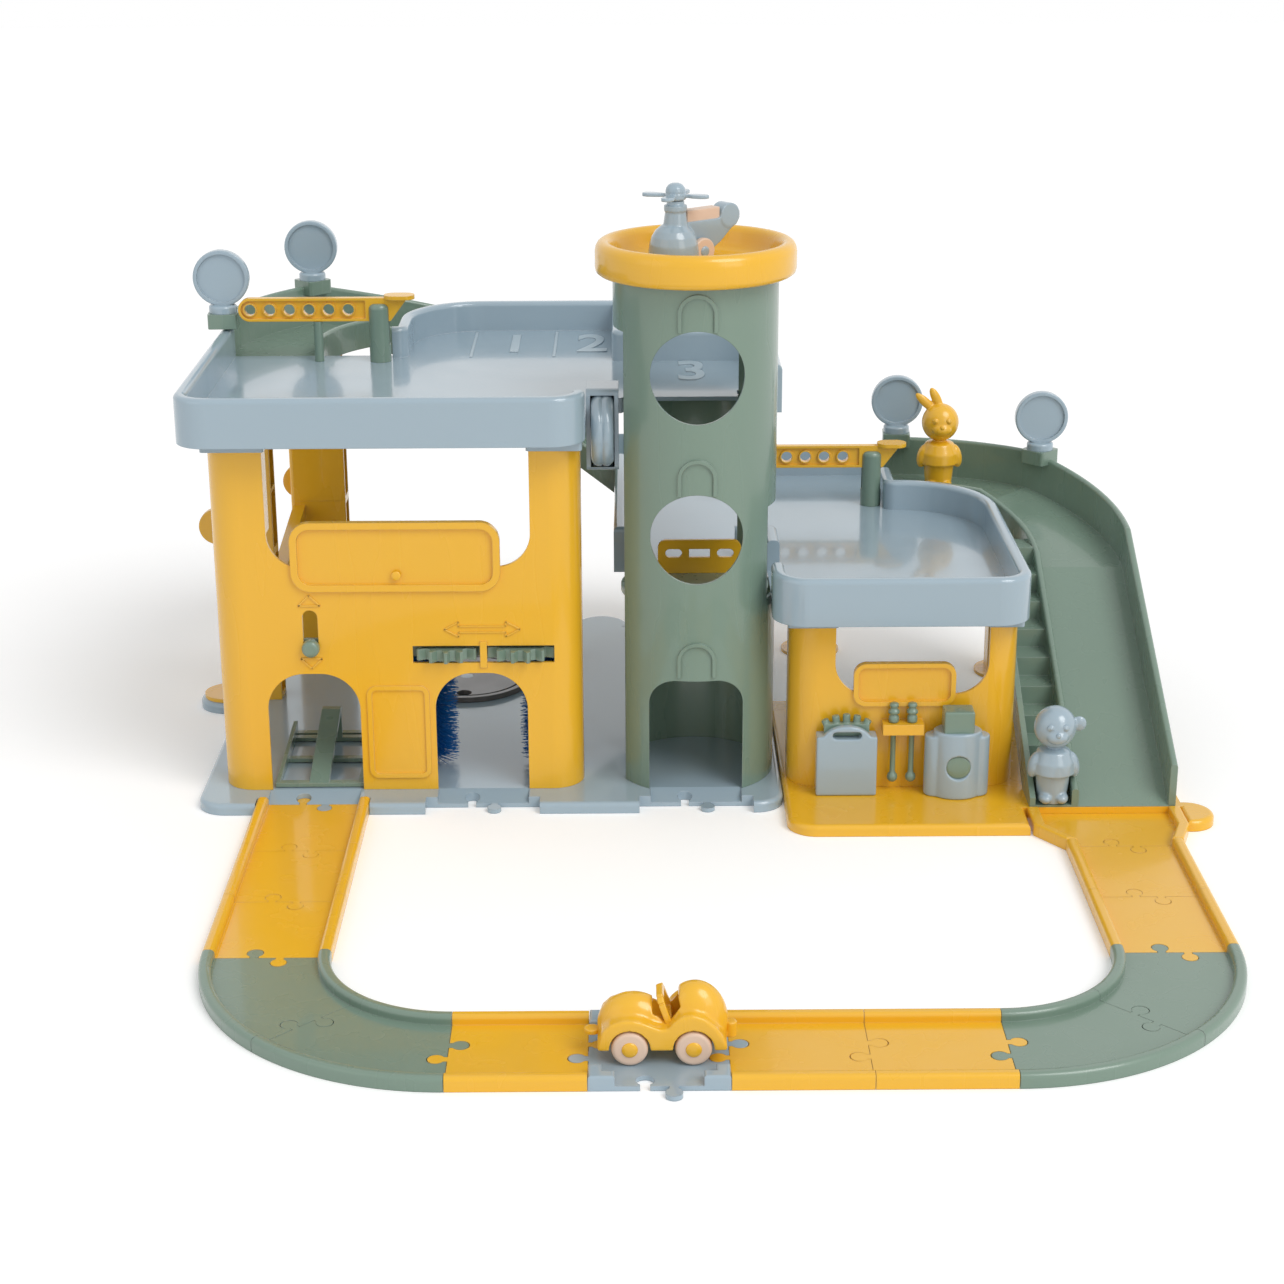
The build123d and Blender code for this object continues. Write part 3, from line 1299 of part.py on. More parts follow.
def pump_insert():
    """Cap on the pump and its dial, both of the second colour."""
    y1 = wall_front_y - joint_gap
    y0 = y1 - pump_depth
    top = base_height + pump_height
    half = pump_cap_width / 2
    cap = soft_field(pump_x - half, pump_x + half, y0 + pump_depth * 0.2, y1 - pump_depth * 0.2, 3)
    cap = slab(cap, top, top + pump_cap_height)
    cap = fillet(cap.edges().group_by(Axis.Z)[-1], 2)
    dial = rod_y(pump_x, y0 + 1, y0 + 5, pump_dial_z, pump_dial_radius - joint_gap)
    return Compound([cap, dial])


def tool_case():
    """Upright case with a handle slot below its top edge."""
    y1 = wall_front_y - sign_proud
    y0 = y1 - case_depth
    x0, x1 = case_x - case_width / 2, case_x + case_width / 2
    plan = soft_field(x0, x1, base_height, base_height + case_height, case_corner)
    body = facing_front(plan, y0, y1)
    body = fillet(body.edges().group_by(Axis.Y)[0], case_corner / 2)
    body = body - block(x0 - 1, x1 + 1, y0 - 1, y1 + 1, base_height - 1, base_height)
    slot = Pos(case_x, base_height + case_height * 0.87) * SlotOverall(case_width * 0.5, case_handle_slot)
    return body - facing_front(slot, y0 - 1, y0 + case_depth / 2)


def case_insert():
    """Row of tool shapes that stands out of the case's top."""
    y1 = wall_front_y - sign_proud
    y0 = y1 - case_depth * 0.6
    top = base_height + case_height
    width = case_width * 0.8
    body = block(case_x - width / 2, case_x + width / 2, y0, y1, top, top + case_handle_slot)
    count = case_tool_count
    pitch = width / count
    for i in range(count):
        x = case_x - width / 2 + (i + 0.5) * pitch
        body = body + block(x - pitch * 0.3, x + pitch * 0.3, y0, y1, top, top + 2 * case_handle_slot)
    return body


def nozzles():
    """Two hoseless lances that hang in the wall's bracket by their collars."""
    items = []
    y = wall_front_y - nozzle_stand_off
    for x in nozzle_xs:
        z0, z1 = nozzle_bottom_z, nozzle_bottom_z + nozzle_length
        body = post(x, y, z0, z1, nozzle_radius)
        body = body + post(x, y, z0, z0 + 5, nozzle_radius * 1.8)
        body = body + post(x, y, nozzle_bracket_top(), nozzle_bracket_top() + 5, nozzle_radius * 1.9)
        body = body + post(x, y, z1 - 9, z1, nozzle_radius * 1.7)
        items.append(one(body))
    return Compound(items)


def nozzle_bracket_top():
    return nozzle_bottom_z + nozzle_length * 0.62 + nozzle_bracket_height


# ---------------- car ----------------
def car_axle_z():
    return road_floor + joint_gap + wheel_radius


def car_y():
    return road_front_y + lane_middle


def car_section(x, top, half, corner):
    """One station of the car's hull: upright sides under a rounded back."""
    low = -car_skirt
    shape = field(-half, half, low, top)
    shape = fillet(shape.vertices().group_by(Axis.Y)[-1], min(corner, half - 1, (top - low) * 0.45))
    return Plane(origin=(x, 0, 0), x_dir=(0, 1, 0), z_dir=(1, 0, 0)) * shape


def car_hull():
    """Loft of the bonnet, the low cockpit sides and the humped tail, from the front axle's middle."""
    stations = ((-18, 10, 6, 3), (-16, 16, 9, 5), (-12, 22.5, 11, 7), (-6, 26.2, 12, 8), (0, 27.2, 12.5, 8),
                (8, 25.5, 12.5, 7), (17, 22, 13.5, 6), (22, 19.5, 13.5, 6), (27, 24.5, 13.5, 8),
                (32, 30, 13.5, 9), (38, 33.4, 13.5, 9), (44, 26, 13.5, 9), (48, 21.5, 12, 8),
                (52, 15, 10, 6), (54.5, 8, 7, 3))
    return loft([car_section(*station) for station in stations], ruled=True)


def car_fenders():
    """Wings over both wheels and the sill between them, over the car's full width."""
    low = -car_skirt
    outline = polygon((-18.5, low), (-18.4, 1.2), (-15.8, 10.6), (-10.9, 15.3), (-4.6, 17.6), (1.7, 18), (6.6, 16.8),
                      (11.5, 14.8), (17.1, 12.4), (21.3, 12.4), (24.1, 16), (28.3, 19.7), (35.3, 21.3),
                      (42.3, 18.9), (48.7, 13.3), (52.9, 7), (55.1, 1.4), (54.8, low))
    body = facing_front(outline, -car_width / 2, car_width / 2)
    rims = body.edges().group_by(Axis.Y)
    upper = [e for e in rims[0] + rims[-1] if e.center().Z > low + 1]
    return fillet(upper, car_hoop / 2)


def car_body():
    """Open roadster: domed bonnet, fenders, cockpit, screen hoop and a hook at each end."""
    body = car_hull() + car_fenders()
    cockpit = polygon((14, 5), (14, 40), (30, 40), (26, 24), (33, 5))
    body = body - facing_front(cockpit, -9.5, 9.5)
    hoop = field(-12, 12, 8, 34) - field(-12 + car_hoop, 12 - car_hoop, 7, 34 - car_hoop)
    body = body + Pos(25, 0, 0) * Rot(0, -19, 0) * facing_side(hoop, 0, car_hoop)
    reach = wheel_radius + wheel_arch_gap
    inner_y = car_width / 2 - wheel_width - wheel_arch_gap / 2
    for x in (0, car_wheelbase):
        for side in (-1, 1):
            y0, y1 = sorted((side * inner_y, side * car_width))
            body = body - rod_y(x, y0, y1, 0, reach) - block(x - reach, x + reach, y0, y1, -reach, 0)
        body = body - rod_y(x, -car_width, car_width, 0, car_axle_radius + running_gap)
    front = block(-25.3, -14, -3, 3, 2, 5)
    rear = block(50, 61, -3, 3, -0.5, 3)
    body = body + front + rear + post(57.5, 0, -car_skirt, 8.6, 3.5)
    return Pos(car_axles_x()[0], car_y(), car_axle_z()) * body


def car_axles_x():
    return car_x - car_wheelbase / 2, car_x + car_wheelbase / 2


def wheel_pair(x, y, z, radius, width, track, axle):
    """Two domed wheels on one axle, as one turning piece."""
    body = rod_y(x, y - track / 2, y + track / 2, z, axle)
    for side in (-1, 1):
        face = side * track / 2
        y0, y1 = sorted((y + face, y + face - side * width))
        wheel = rod_y(x, y0, y1, z, radius)
        wheel = fillet(wheel.edges().filter_by(GeomType.CIRCLE), width * 0.28)
        body = body + wheel
    return body


def car_wheels(x):
    return wheel_pair(x, car_y(), car_axle_z(), wheel_radius, wheel_width - 0.5, car_width + 1, car_axle_radius)


# ---------------- helicopter ----------------
def heli_place(shape):
    floor_z = tower_top_z + pad_floor + joint_gap
    return Pos(heli_x, heli_y, floor_z) * Rot(0, 0, heli_turn) * shape


def helicopter_body():
    """Domed cabin with mast, flat wedge boom and a round tail plate."""
    r = heli_body_radius
    cabin = post(0, 0, 0, r * 2, r * 1.05)
    cabin = fillet(cabin.edges().group_by(Axis.Z)[-1], r * 0.95)
    mast = post(0, 0, r, heli_rotor_z, r * 0.38)
    boom = polygon((0, r * 0.5), (0, r * 1.75), (heli_length * 0.62, r * 1.9), (heli_length * 0.8, r * 1.5),
                   (heli_length * 0.45, r * 0.3))
    boom = facing_front(boom, -r * 0.35, r * 0.35)
    tail = rod_y(heli_length * 0.72, -r * 0.3, r * 0.3, r * 1.7, r * 0.55)
    axle = heli_axle()
    body = cabin + mast + boom + tail
    body = body + block(axle[0] - 4, axle[0] + 4, -r * 0.35, r * 0.35, axle[1] - 4, axle[1] + r * 0.5)
    window = block(r * 0.75, heli_length * 0.55, -r, r, r * 1.2, r * 1.65)
    body = body - window
    body = body - rod_y(axle[0], -2 * r, 2 * r, axle[1], car_axle_radius - 0.5 + running_gap)
    for side in (-1, 1):
        y0, y1 = sorted((side * (r * 0.35 + joint_gap), side * 3 * r))
        body = body - rod_y(axle[0], y0, y1, axle[1], heli_wheel_radius + 1)
    return heli_place(body)


def helicopter_seat():
    """Pale block that fills the boom's window."""
    r = heli_body_radius
    fill = block(r * 0.75 + joint_gap, heli_length * 0.55 - joint_gap, -r * 0.3, r * 0.3, r * 1.2, r * 1.65 - joint_gap)
    return heli_place(fill)


def heli_axle():
    return heli_body_radius * 1.1, heli_wheel_radius


def helicopter_wheels():
    x, z = heli_axle()
    r = heli_body_radius
    return heli_place(wheel_pair(x, 0, z, heli_wheel_radius, r * 0.3, 1.55 * r, car_axle_radius - 0.5))


def helicopter_rotor():
    """Four rounded blades below a domed hub."""
    r = heli_body_radius * 0.38
    z0 = heli_rotor_z + joint_gap
    hub = post(0, 0, z0, z0 + 2 * r, r * 1.35)
    hub = fillet(hub.edges().group_by(Axis.Z)[-1], r)
    body = hub
    for i in range(rotor_blades):
        blade = Pos(rotor_length / 4, 0) * SlotOverall(rotor_length / 2, r * 1.1)
        body = body + Rot(0, 0, rotor_turn + 360 * i / rotor_blades) * slab(blade, z0, z0 + rotor_thickness)
    return heli_place(body)


# ---------------- figures ----------------
def animal(ears):
    """Peg figure: two feet, short legs, a bell-shaped jacket with arms and a large round head."""
    r, h = figure_radius, figure_height
    jacket = make_face(Polyline((0, 0.55 * h), (0, 0.28 * h), (0.78 * r, 0.28 * h), (0.78 * r, 0.3 * h),
                                (r, 0.3 * h), (0.97 * r, 0.42 * h), (0.72 * r, 0.53 * h), (0.4 * r, 0.55 * h),
                                close=True))
    rounded = [v for v in jacket.vertices() if v.X > 0.5 * r and v.Y > 0.3 * h]
    jacket = fillet(rounded, 0.2 * r)
    body = revolve(Plane.XZ * jacket, Axis.Z)
    body = body + Cone(0.66 * r, 0.78 * r, 0.29 * h, align=LOW)
    for side in (-1, 1):
        foot = Pos(side * 0.36 * r, -0.42 * r, 0.06 * h) * scale(Sphere(r), (0.32, 0.5, 0.28))
        body = body + foot
        arm = Pos(side * 0.86 * r, -0.12 * r, 0.38 * h) * Rot(0, side * -12, 0) * scale(Sphere(r), (0.3, 0.36, 0.62))
        body = body + arm
    head_z = 0.76 * h
    body = body + Pos(0, 0, head_z) * scale(Sphere(r), (0.95, 0.9, 0.98))
    body = body + Pos(0, -0.68 * r, head_z - 0.24 * r) * scale(Sphere(r), (0.5, 0.38, 0.34))
    for x, z, turn, wide, tall in ears:
        ear = scale(Sphere(r), (wide, 0.16, tall))
        body = body + Pos(x * r, 0.05 * r, head_z + z * r) * Rot(0, turn, 0) * ear
    return body - block(-2 * r, 2 * r, -2 * r, 2 * r, -h, 0)


def bear_figure():
    ears = ((-1.08, 0.12, 0, 0.34, 0.36), (1.08, 0.12, 0, 0.34, 0.36))
    return Pos(bear_xy[0], bear_xy[1], base_height + stair_landing + joint_gap) * animal(ears)


def rabbit_figure():
    ears = ((-0.75, 1.0, -48, 0.24, 0.75), (-0.25, 1.25, -28, 0.24, 0.62))
    return Pos(rabbit_xy[0], rabbit_xy[1], second_floor_z + joint_gap) * animal(ears)


# ---------------- the whole set ----------------
def all_parts():
    parts = roads()
    parts.update({
        "base_plate": base_plate(),
        "right_base": right_base(),
        "garage_front_wall": garage_front_wall(),
        "right_front_wall": right_front_wall(),
        "upper_deck": upper_deck(),
        "second_deck": second_deck(),
        "upper_ramp": upper_ramp(),
        "right_ramp": right_ramp(),
        "ramp_support_lower": ramp_support_lower(),
        "ramp_support_upper": ramp_support_upper(),
        "rear_pillars": rear_pillars(),
        "right_ramp_pillar": right_ramp_pillar(),
        "tower_front_shell": tower_front_shell(),
        "tower_rear_shell": tower_rear_shell(),
        "helipad": helipad(),
        "lift_platform": lift_platform(),
        "lift_guard": lift_guard(),
        "crank_housing": crank_housing(),
        "crank_wheel": crank_wheel(),
        "gate_posts": gate_posts(),
        "upper_gate_arm": gate_arm(*upper_gate, upper_floor_z),
        "second_gate_arm": gate_arm(*second_gate, second_floor_z),
        "mirrors": mirrors(),
        "turntable": turntable(),
        "wash_bracket": wash_bracket(),
        "wash_gear_left": wash_gear(-1),
        "wash_gear_right": wash_gear(1),
        "wash_spindle_left": brush_spindle(-1),
        "wash_spindle_right": brush_spindle(1),
        "wash_brush_left": wash_brush(-1),
        "wash_brush_right": wash_brush(1),
        "hoist_tray": hoist_tray(),
        "hoist_lever": hoist_lever(),
        "fuel_pump": fuel_pump(),
        "pump_insert": pump_insert(),
        "tool_case": tool_case(),
        "case_insert": case_insert(),
        "nozzles": nozzles(),
        "car_body": car_body(),
        "car_front_wheels": car_wheels(car_axles_x()[0]),
        "car_rear_wheels": car_wheels(car_axles_x()[1]),
        "helicopter_body": helicopter_body(),
        "helicopter_seat": helicopter_seat(),
        "helicopter_wheels": helicopter_wheels(),
        "helicopter_rotor": helicopter_rotor(),
        "bear_figure": bear_figure(),
        "rabbit_figure": rabbit_figure(),
    })
    return parts


os.makedirs("parts", exist_ok=True)
for name, shape in all_parts().items():
    export_step(shape, "parts/" + name + ".step")
    print(name, len(shape.solids()), "solids, volume", round(shape.volume))
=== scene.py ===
import json
import math
import random

import bmesh
import bpy
from mathutils import Matrix, Vector


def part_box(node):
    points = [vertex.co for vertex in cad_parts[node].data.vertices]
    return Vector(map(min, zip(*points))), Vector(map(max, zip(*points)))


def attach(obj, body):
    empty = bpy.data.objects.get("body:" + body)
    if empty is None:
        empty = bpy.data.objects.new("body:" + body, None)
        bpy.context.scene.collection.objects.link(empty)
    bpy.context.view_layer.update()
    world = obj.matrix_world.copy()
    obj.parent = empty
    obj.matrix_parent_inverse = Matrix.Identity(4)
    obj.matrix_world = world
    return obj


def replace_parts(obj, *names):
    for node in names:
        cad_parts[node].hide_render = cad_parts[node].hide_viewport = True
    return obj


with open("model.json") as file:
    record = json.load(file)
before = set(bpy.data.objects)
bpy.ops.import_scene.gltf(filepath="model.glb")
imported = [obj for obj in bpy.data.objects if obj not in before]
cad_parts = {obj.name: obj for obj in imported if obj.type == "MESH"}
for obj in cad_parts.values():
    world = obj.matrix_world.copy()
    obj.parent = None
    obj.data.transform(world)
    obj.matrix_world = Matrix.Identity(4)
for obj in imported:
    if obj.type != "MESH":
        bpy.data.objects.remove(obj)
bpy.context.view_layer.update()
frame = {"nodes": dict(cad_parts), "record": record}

MM = 0.001
WELD = 0.000005          # corners closer than this are one, in metres
FULL_TURN = 2 * math.pi

# camera, solved from the road's lattice; place in metres, angles in radians, lens in millimetres
CAMERA_PLACE = Vector((-0.04497, -1.64783, 0.68073))
CAMERA_PITCH = 0.33737
CAMERA_YAW = 0.004378
CAMERA_ROLL = -0.0040816
CAMERA_LENS = 68.04
SENSOR_WIDTH = 36.0

# moulded colours, linear
YELLOW = (0.850, 0.465, 0.020, 1.0)
BLUE = (0.340, 0.440, 0.510, 1.0)
PALE_BLUE = (0.460, 0.560, 0.620, 1.0)
GREEN = (0.185, 0.270, 0.212, 1.0)
DARK = (0.120, 0.110, 0.105, 1.0)
CREAM = (0.760, 0.560, 0.430, 1.0)
BRISTLE_BLUE = (0.006, 0.165, 0.520, 1.0)
WHITE = (1.0, 1.0, 1.0, 1.0)


# ---------------- shader effects ----------------
DRIFT_SHADE = (0.72, 0.70, 0.68, 1.0)
CLOUD_SCALE = 9.0
STREAK_STRETCH = (40.0, 40.0, 6.0)
GRAIN_BUMP = 0.0002
# how far edges are painted paler: partly wear, partly a painted highlight for the light the edges catch
EDGE_WEAR_AND_HIGHLIGHT_PALENESS = 0.35
COAT_ROUGHNESS = 0.06


def new_group(name, inputs, outputs):
    group = bpy.data.node_groups.new(name, "ShaderNodeTree")
    for label, kind, value in inputs:
        socket = group.interface.new_socket(label, in_out="INPUT", socket_type=kind)
        socket.default_value = value
    for label, kind in outputs:
        group.interface.new_socket(label, in_out="OUTPUT", socket_type=kind)
    return group, group.nodes.new("NodeGroupInput"), group.nodes.new("NodeGroupOutput")


def noise(tree, place, detail, scale=None):
    """Noise texture read at a place; without a scale here, one is linked in."""
    texture = tree.nodes.new("ShaderNodeTexNoise")
    texture.inputs["Detail"].default_value = detail
    if scale is not None:
        texture.inputs["Scale"].default_value = scale
    tree.links.new(place, texture.inputs["Vector"])
    return texture


def remap(tree, value, low, high, to_low=0.0, to_high=1.0):
    """Carry a value from one range to another, held at both ends."""
    node = tree.nodes.new("ShaderNodeMapRange")
    for label, number in (("From Min", low), ("From Max", high), ("To Min", to_low), ("To Max", to_high)):
        node.inputs[label].default_value = number
    tree.links.new(value, node.inputs["Value"])
    return node.outputs["Result"]


def combine(tree, operation, first, second):
    """Sum or product of two values."""
    node = tree.nodes.new("ShaderNodeMath")
    node.operation = operation
    tree.links.new(first, node.inputs[0])
    tree.links.new(second, node.inputs[1])
    return node.outputs["Value"]


def colour_mix(tree, first, second, factor, blend="MIX"):
    """Mix of two colours, each input either a socket or a fixed value."""
    node = tree.nodes.new("ShaderNodeMix")
    node.data_type = "RGBA"
    node.blend_type = blend
    for label, given in (("A", first), ("B", second), ("Factor", factor)):
        if isinstance(given, bpy.types.NodeSocket):
            tree.links.new(given, node.inputs[label])
        else:
            node.inputs[label].default_value = given
    return node.outputs["Result"]


def soft_normal(group, given, grain):
    """Normal rounded over the edges, alone and with the moulding grain on it."""
    soft_edge = group.nodes.new("ShaderNodeBevel")
    soft_edge.samples = 4
    group.links.new(given.outputs["Edge radius"], soft_edge.inputs["Radius"])
    bump = group.nodes.new("ShaderNodeBump")
    bump.inputs["Distance"].default_value = GRAIN_BUMP
    group.links.new(given.outputs["Grain depth"], bump.inputs["Strength"])
    group.links.new(grain, bump.inputs["Height"])
    group.links.new(soft_edge.outputs["Normal"], bump.inputs["Normal"])
    return soft_edge.outputs["Normal"], bump.outputs["Normal"]


def worn_and_highlit_edges(group, given, edge_normal, cloud):
    """How much the edges are rubbed and given a painted highlight: where the rounded normal leaves the face,
    in patches.
    """
    face = group.nodes.new("ShaderNodeNewGeometry")
    agree = group.nodes.new("ShaderNodeVectorMath")
    agree.operation = "DOT_PRODUCT"
    group.links.new(edge_normal, agree.inputs[0])
    group.links.new(face.outputs["Normal"], agree.inputs[1])
    on_edge = remap(group, agree.outputs["Value"], 0.995, 0.90)
    patchy = remap(group, cloud, 0.40, 0.62)
    worn_and_highlit = combine(group, "MULTIPLY", on_edge, patchy)
    return combine(group, "MULTIPLY", worn_and_highlit, given.outputs["Edge rub and highlight"])


def moulded_skin_group():
    """Slow colour drift, fine moulding grain, flow streaks, and soft edges painted paler in patches, partly
    as wear and partly as a painted highlight.
    """
    group, given, result = new_group(
        "moulded_skin",
        [("Colour", "NodeSocketColor", (0.5, 0.5, 0.5, 1.0)), ("Drift", "NodeSocketFloat", 0.06),
         ("Roughness", "NodeSocketFloat", 0.3), ("Grain size", "NodeSocketFloat", 900.0),
         ("Grain depth", "NodeSocketFloat", 0.04), ("Edge radius", "NodeSocketFloat", 0.0008),
         ("Edge rub and highlight", "NodeSocketFloat", 0.5)],
        [("Colour", "NodeSocketColor"), ("Roughness", "NodeSocketFloat"), ("Normal", "NodeSocketVector")])
    links = group.links
    place = group.nodes.new("ShaderNodeTexCoord").outputs["Object"]
    stretched = group.nodes.new("ShaderNodeMapping")
    stretched.inputs["Scale"].default_value = STREAK_STRETCH
    links.new(place, stretched.inputs["Vector"])
    cloud = noise(group, place, 3.0, CLOUD_SCALE).outputs["Fac"]
    streak = noise(group, stretched.outputs["Vector"], 2.0, 1.0).outputs["Fac"]
    grain = noise(group, place, 2.0)
    links.new(given.outputs["Grain size"], grain.inputs["Scale"])

    streaks = remap(group, streak, 0.3, 0.7, -0.035, 0.05)
    links.new(combine(group, "ADD", streaks, given.outputs["Roughness"]), result.inputs["Roughness"])

    edge_normal, normal = soft_normal(group, given, grain.outputs["Fac"])
    links.new(normal, result.inputs["Normal"])

    drift = combine(group, "MULTIPLY", cloud, given.outputs["Drift"])
    darker = colour_mix(group, given.outputs["Colour"], DRIFT_SHADE, drift, "MULTIPLY")
    # painted highlight and wear: the colour goes paler toward white on the rounded edges, in patches
    paler = colour_mix(group, given.outputs["Colour"], WHITE, EDGE_WEAR_AND_HIGHLIGHT_PALENESS)
    rub_and_highlight = worn_and_highlit_edges(group, given, edge_normal, cloud)
    links.new(colour_mix(group, darker, paler, rub_and_highlight), result.inputs["Colour"])
    return group


SKIN = moulded_skin_group()


def plastic(name, colour, roughness=0.25, coat=0.35, drift=0.07, grain=0.02, edge=0.0009, rub_and_highlight=0.3):
    """Moulded plastic with the shared skin effect."""
    material = bpy.data.materials.new(name)
    material.use_nodes = True
    nodes, links = material.node_tree.nodes, material.node_tree.links
    shader = nodes["Principled BSDF"]
    skin = nodes.new("ShaderNodeGroup")
    skin.node_tree = SKIN
    for label, value in (("Colour", colour), ("Drift", drift), ("Roughness", roughness),
                         ("Grain depth", grain), ("Edge radius", edge), ("Edge rub and highlight", rub_and_highlight)):
        skin.inputs[label].default_value = value
    for label, target in (("Colour", "Base Color"), ("Roughness", "Roughness"), ("Normal", "Normal")):
        links.new(skin.outputs[label], shader.inputs[target])
    shader.inputs["Coat Weight"].default_value = coat
    shader.inputs["Coat Roughness"].default_value = COAT_ROUGHNESS
    return material


FINISH = {
    "yellow_plastic": plastic("yellow_shell", YELLOW),
    "blue_plastic": plastic("blue_shell", BLUE, roughness=0.17, coat=0.5),
    "green_plastic": plastic("green_shell", GREEN, roughness=0.27),
    "dark_plastic": plastic("dark_disc", DARK, roughness=0.33),
    "cream_plastic": plastic("cream_wheel", CREAM, roughness=0.42, coat=0.05),
    "brush_fibre": plastic("blue_bristle", BRISTLE_BLUE, roughness=0.42, coat=0.0, drift=0.6,
                           edge=0.0001, rub_and_highlight=0.0),
}
PRINT = plastic("pale_blue_mark", PALE_BLUE, roughness=0.3, rub_and_highlight=0.2)


def dress_nodes():
    """Give every carried-over node the finish of its slot."""
    slots = {entry["node"]: entry["material_slot"] for entry in frame["record"]["subparts"]}
    for name, piece in frame["nodes"].items():
        finish = FINISH[slots[name]]
        for slot in piece.material_slots:
            slot.material = finish
        if not piece.material_slots:
            piece.data.materials.append(finish)


# ---------------- places ----------------
def shift(x, y, z):
    """Move by millimetres."""
    return Matrix.Translation((x * MM, y * MM, z * MM))


def rotate(degrees, axis):
    return Matrix.Rotation(math.radians(degrees), 4, axis)


def stretch(x, y, z):
    return Matrix.Diagonal((x, y, z, 1.0))


FACE_FRONT = rotate(90, "X")


def on_front(y):
    """Plane of a front wall: x stays, y of the drawing goes up, out to the front."""
    return shift(0.0, y, 0.0) @ FACE_FRONT


# ---------------- forms ----------------
def raised_shape(mesh, points, height, place):
    """Raise a flat outline by height along +Z, then set it in place."""
    corners = [mesh.verts.new((x * MM, y * MM, 0.0)) for x, y in points]
    face = mesh.faces.new(corners)
    made = bmesh.ops.extrude_face_region(mesh, geom=[face])
    top = [item for item in made["geom"] if isinstance(item, bmesh.types.BMVert)]
    bmesh.ops.translate(mesh, verts=top, vec=(0.0, 0.0, height * MM))
    bmesh.ops.transform(mesh, matrix=place, verts=corners + top)


def upright(mesh, points, front, back):
    """Raise an (x, z) outline along Y between two faces."""
    raised_shape(mesh, points, back - front, on_front(back))


def bar(mesh, start, end, width, height, place):
    """Straight raised bar between two points of a plane."""
    along = Vector((end[0] - start[0], end[1] - start[1]))
    side = Vector((-along.y, along.x)).normalized() * width / 2
    points = [(start[0] + side.x, start[1] + side.y), (start[0] - side.x, start[1] - side.y),
              (end[0] - side.x, end[1] - side.y), (end[0] + side.x, end[1] + side.y)]
    raised_shape(mesh, points, height, place)


def ridge_loop(mesh, points, width, height, place):
    """Closed raised line along a loop of points."""
    for start, end in zip(points, points[1:] + points[:1]):
        bar(mesh, start, end, width, height, place)


def join(mesh, part, place):
    """Add one form to another, in its place."""
    part.transform(place)
    holder = bpy.data.meshes.new("form")
    part.to_mesh(holder)
    part.free()
    mesh.from_mesh(holder)
    bpy.data.meshes.remove(holder)


def turned(mesh, profile, place, steps=40):
    """Turn a profile of (radius, height) about +Z, from axis to axis, and set it in place."""
    part = bmesh.new()
    points = [part.verts.new((radius * MM, 0.0, height * MM)) for radius, height in profile]
    lines = [part.edges.new(pair) for pair in zip(points, points[1:])]
    bmesh.ops.spin(part, geom=points + lines, axis=(0, 0, 1), cent=(0, 0, 0), angle=FULL_TURN,
                   steps=steps, use_merge=True)
    bmesh.ops.remove_doubles(part, verts=part.verts, dist=WELD)
    bmesh.ops.recalc_face_normals(part, faces=part.faces)
    join(mesh, part, place)


def dome_profile(radius, height):
    """Low dome that stands on a short skirt."""
    skirt = -0.5
    return [(0.0, height), (0.5 * radius, 0.94 * height), (0.82 * radius, 0.68 * height),
            (0.97 * radius, 0.3 * height), (radius, 0.0), (radius, skirt), (0.0, skirt)]


def ball(mesh, centre, radii):
    """Ellipsoid; centre and radii in millimetres."""
    place = Matrix.Translation(Vector(centre) * MM)
    place = place @ Matrix.Diagonal((radii[0] * MM, radii[1] * MM, radii[2] * MM, 1.0))
    bmesh.ops.create_icosphere(mesh, subdivisions=4, radius=1.0, matrix=place)


def brick(mesh, low, high):
    """Box between two corners in millimetres."""
    low, high = Vector(low) * MM, Vector(high) * MM
    size = high - low
    bmesh.ops.create_cube(mesh, size=1.0, matrix=Matrix.Translation((low + high) / 2) @ stretch(*size))


def rod(mesh, start, end, radius, radius_end=None):
    """Round bar between two points in millimetres."""
    start, end = Vector(start) * MM, Vector(end) * MM
    aim = (end - start).to_track_quat("Z", "Y").to_matrix().to_4x4()
    bmesh.ops.create_cone(mesh, cap_ends=True, segments=40, radius1=radius * MM,
                          radius2=(radius if radius_end is None else radius_end) * MM,
                          depth=(end - start).length, matrix=Matrix.Translation((start + end) / 2) @ aim)


def drum(mesh, radius, depth, segments, place):
    """Cylinder about its own middle, set in place; sizes in millimetres."""
    bmesh.ops.create_cone(mesh, cap_ends=True, segments=segments, radius1=radius * MM,
                          radius2=radius * MM, depth=depth * MM, matrix=place)


# ---------------- pieces ----------------
def object_of(mesh, name):
    """Object that holds a form under construction."""
    data = bpy.data.meshes.new(name)
    mesh.to_mesh(data)
    mesh.free()
    holder = bpy.data.objects.new(name, data)
    bpy.context.collection.objects.link(holder)
    return holder


def worked_out(holder):
    """Form of an object with its modifiers or its text worked out; the object goes."""
    bpy.context.view_layer.update()
    graph = bpy.context.evaluated_depsgraph_get()
    data = bpy.data.meshes.new_from_object(holder.evaluated_get(graph))
    bpy.data.objects.remove(holder)
    mesh = bmesh.new()
    mesh.from_mesh(data)
    bpy.data.meshes.remove(data)
    return mesh


def ready_piece(mesh, name, slot, body, finish=None):
    """Make a form whose faces are in order into a piece that rides on a body."""
    piece = object_of(mesh, name)
    piece.data.materials.append(finish or FINISH[slot])
    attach(piece, body)
    return piece


def finish_piece(mesh, name, slot, body, finish=None):
    """Weld a form, turn its faces outward and make it into a piece that rides on a body."""
    bmesh.ops.remove_doubles(mesh, verts=mesh.verts, dist=WELD)
    bmesh.ops.recalc_face_normals(mesh, faces=mesh.faces)
    return ready_piece(mesh, name, slot, body, finish)


def smooth_faces(piece):
    for face in piece.data.polygons:
        face.use_smooth = True
    return piece


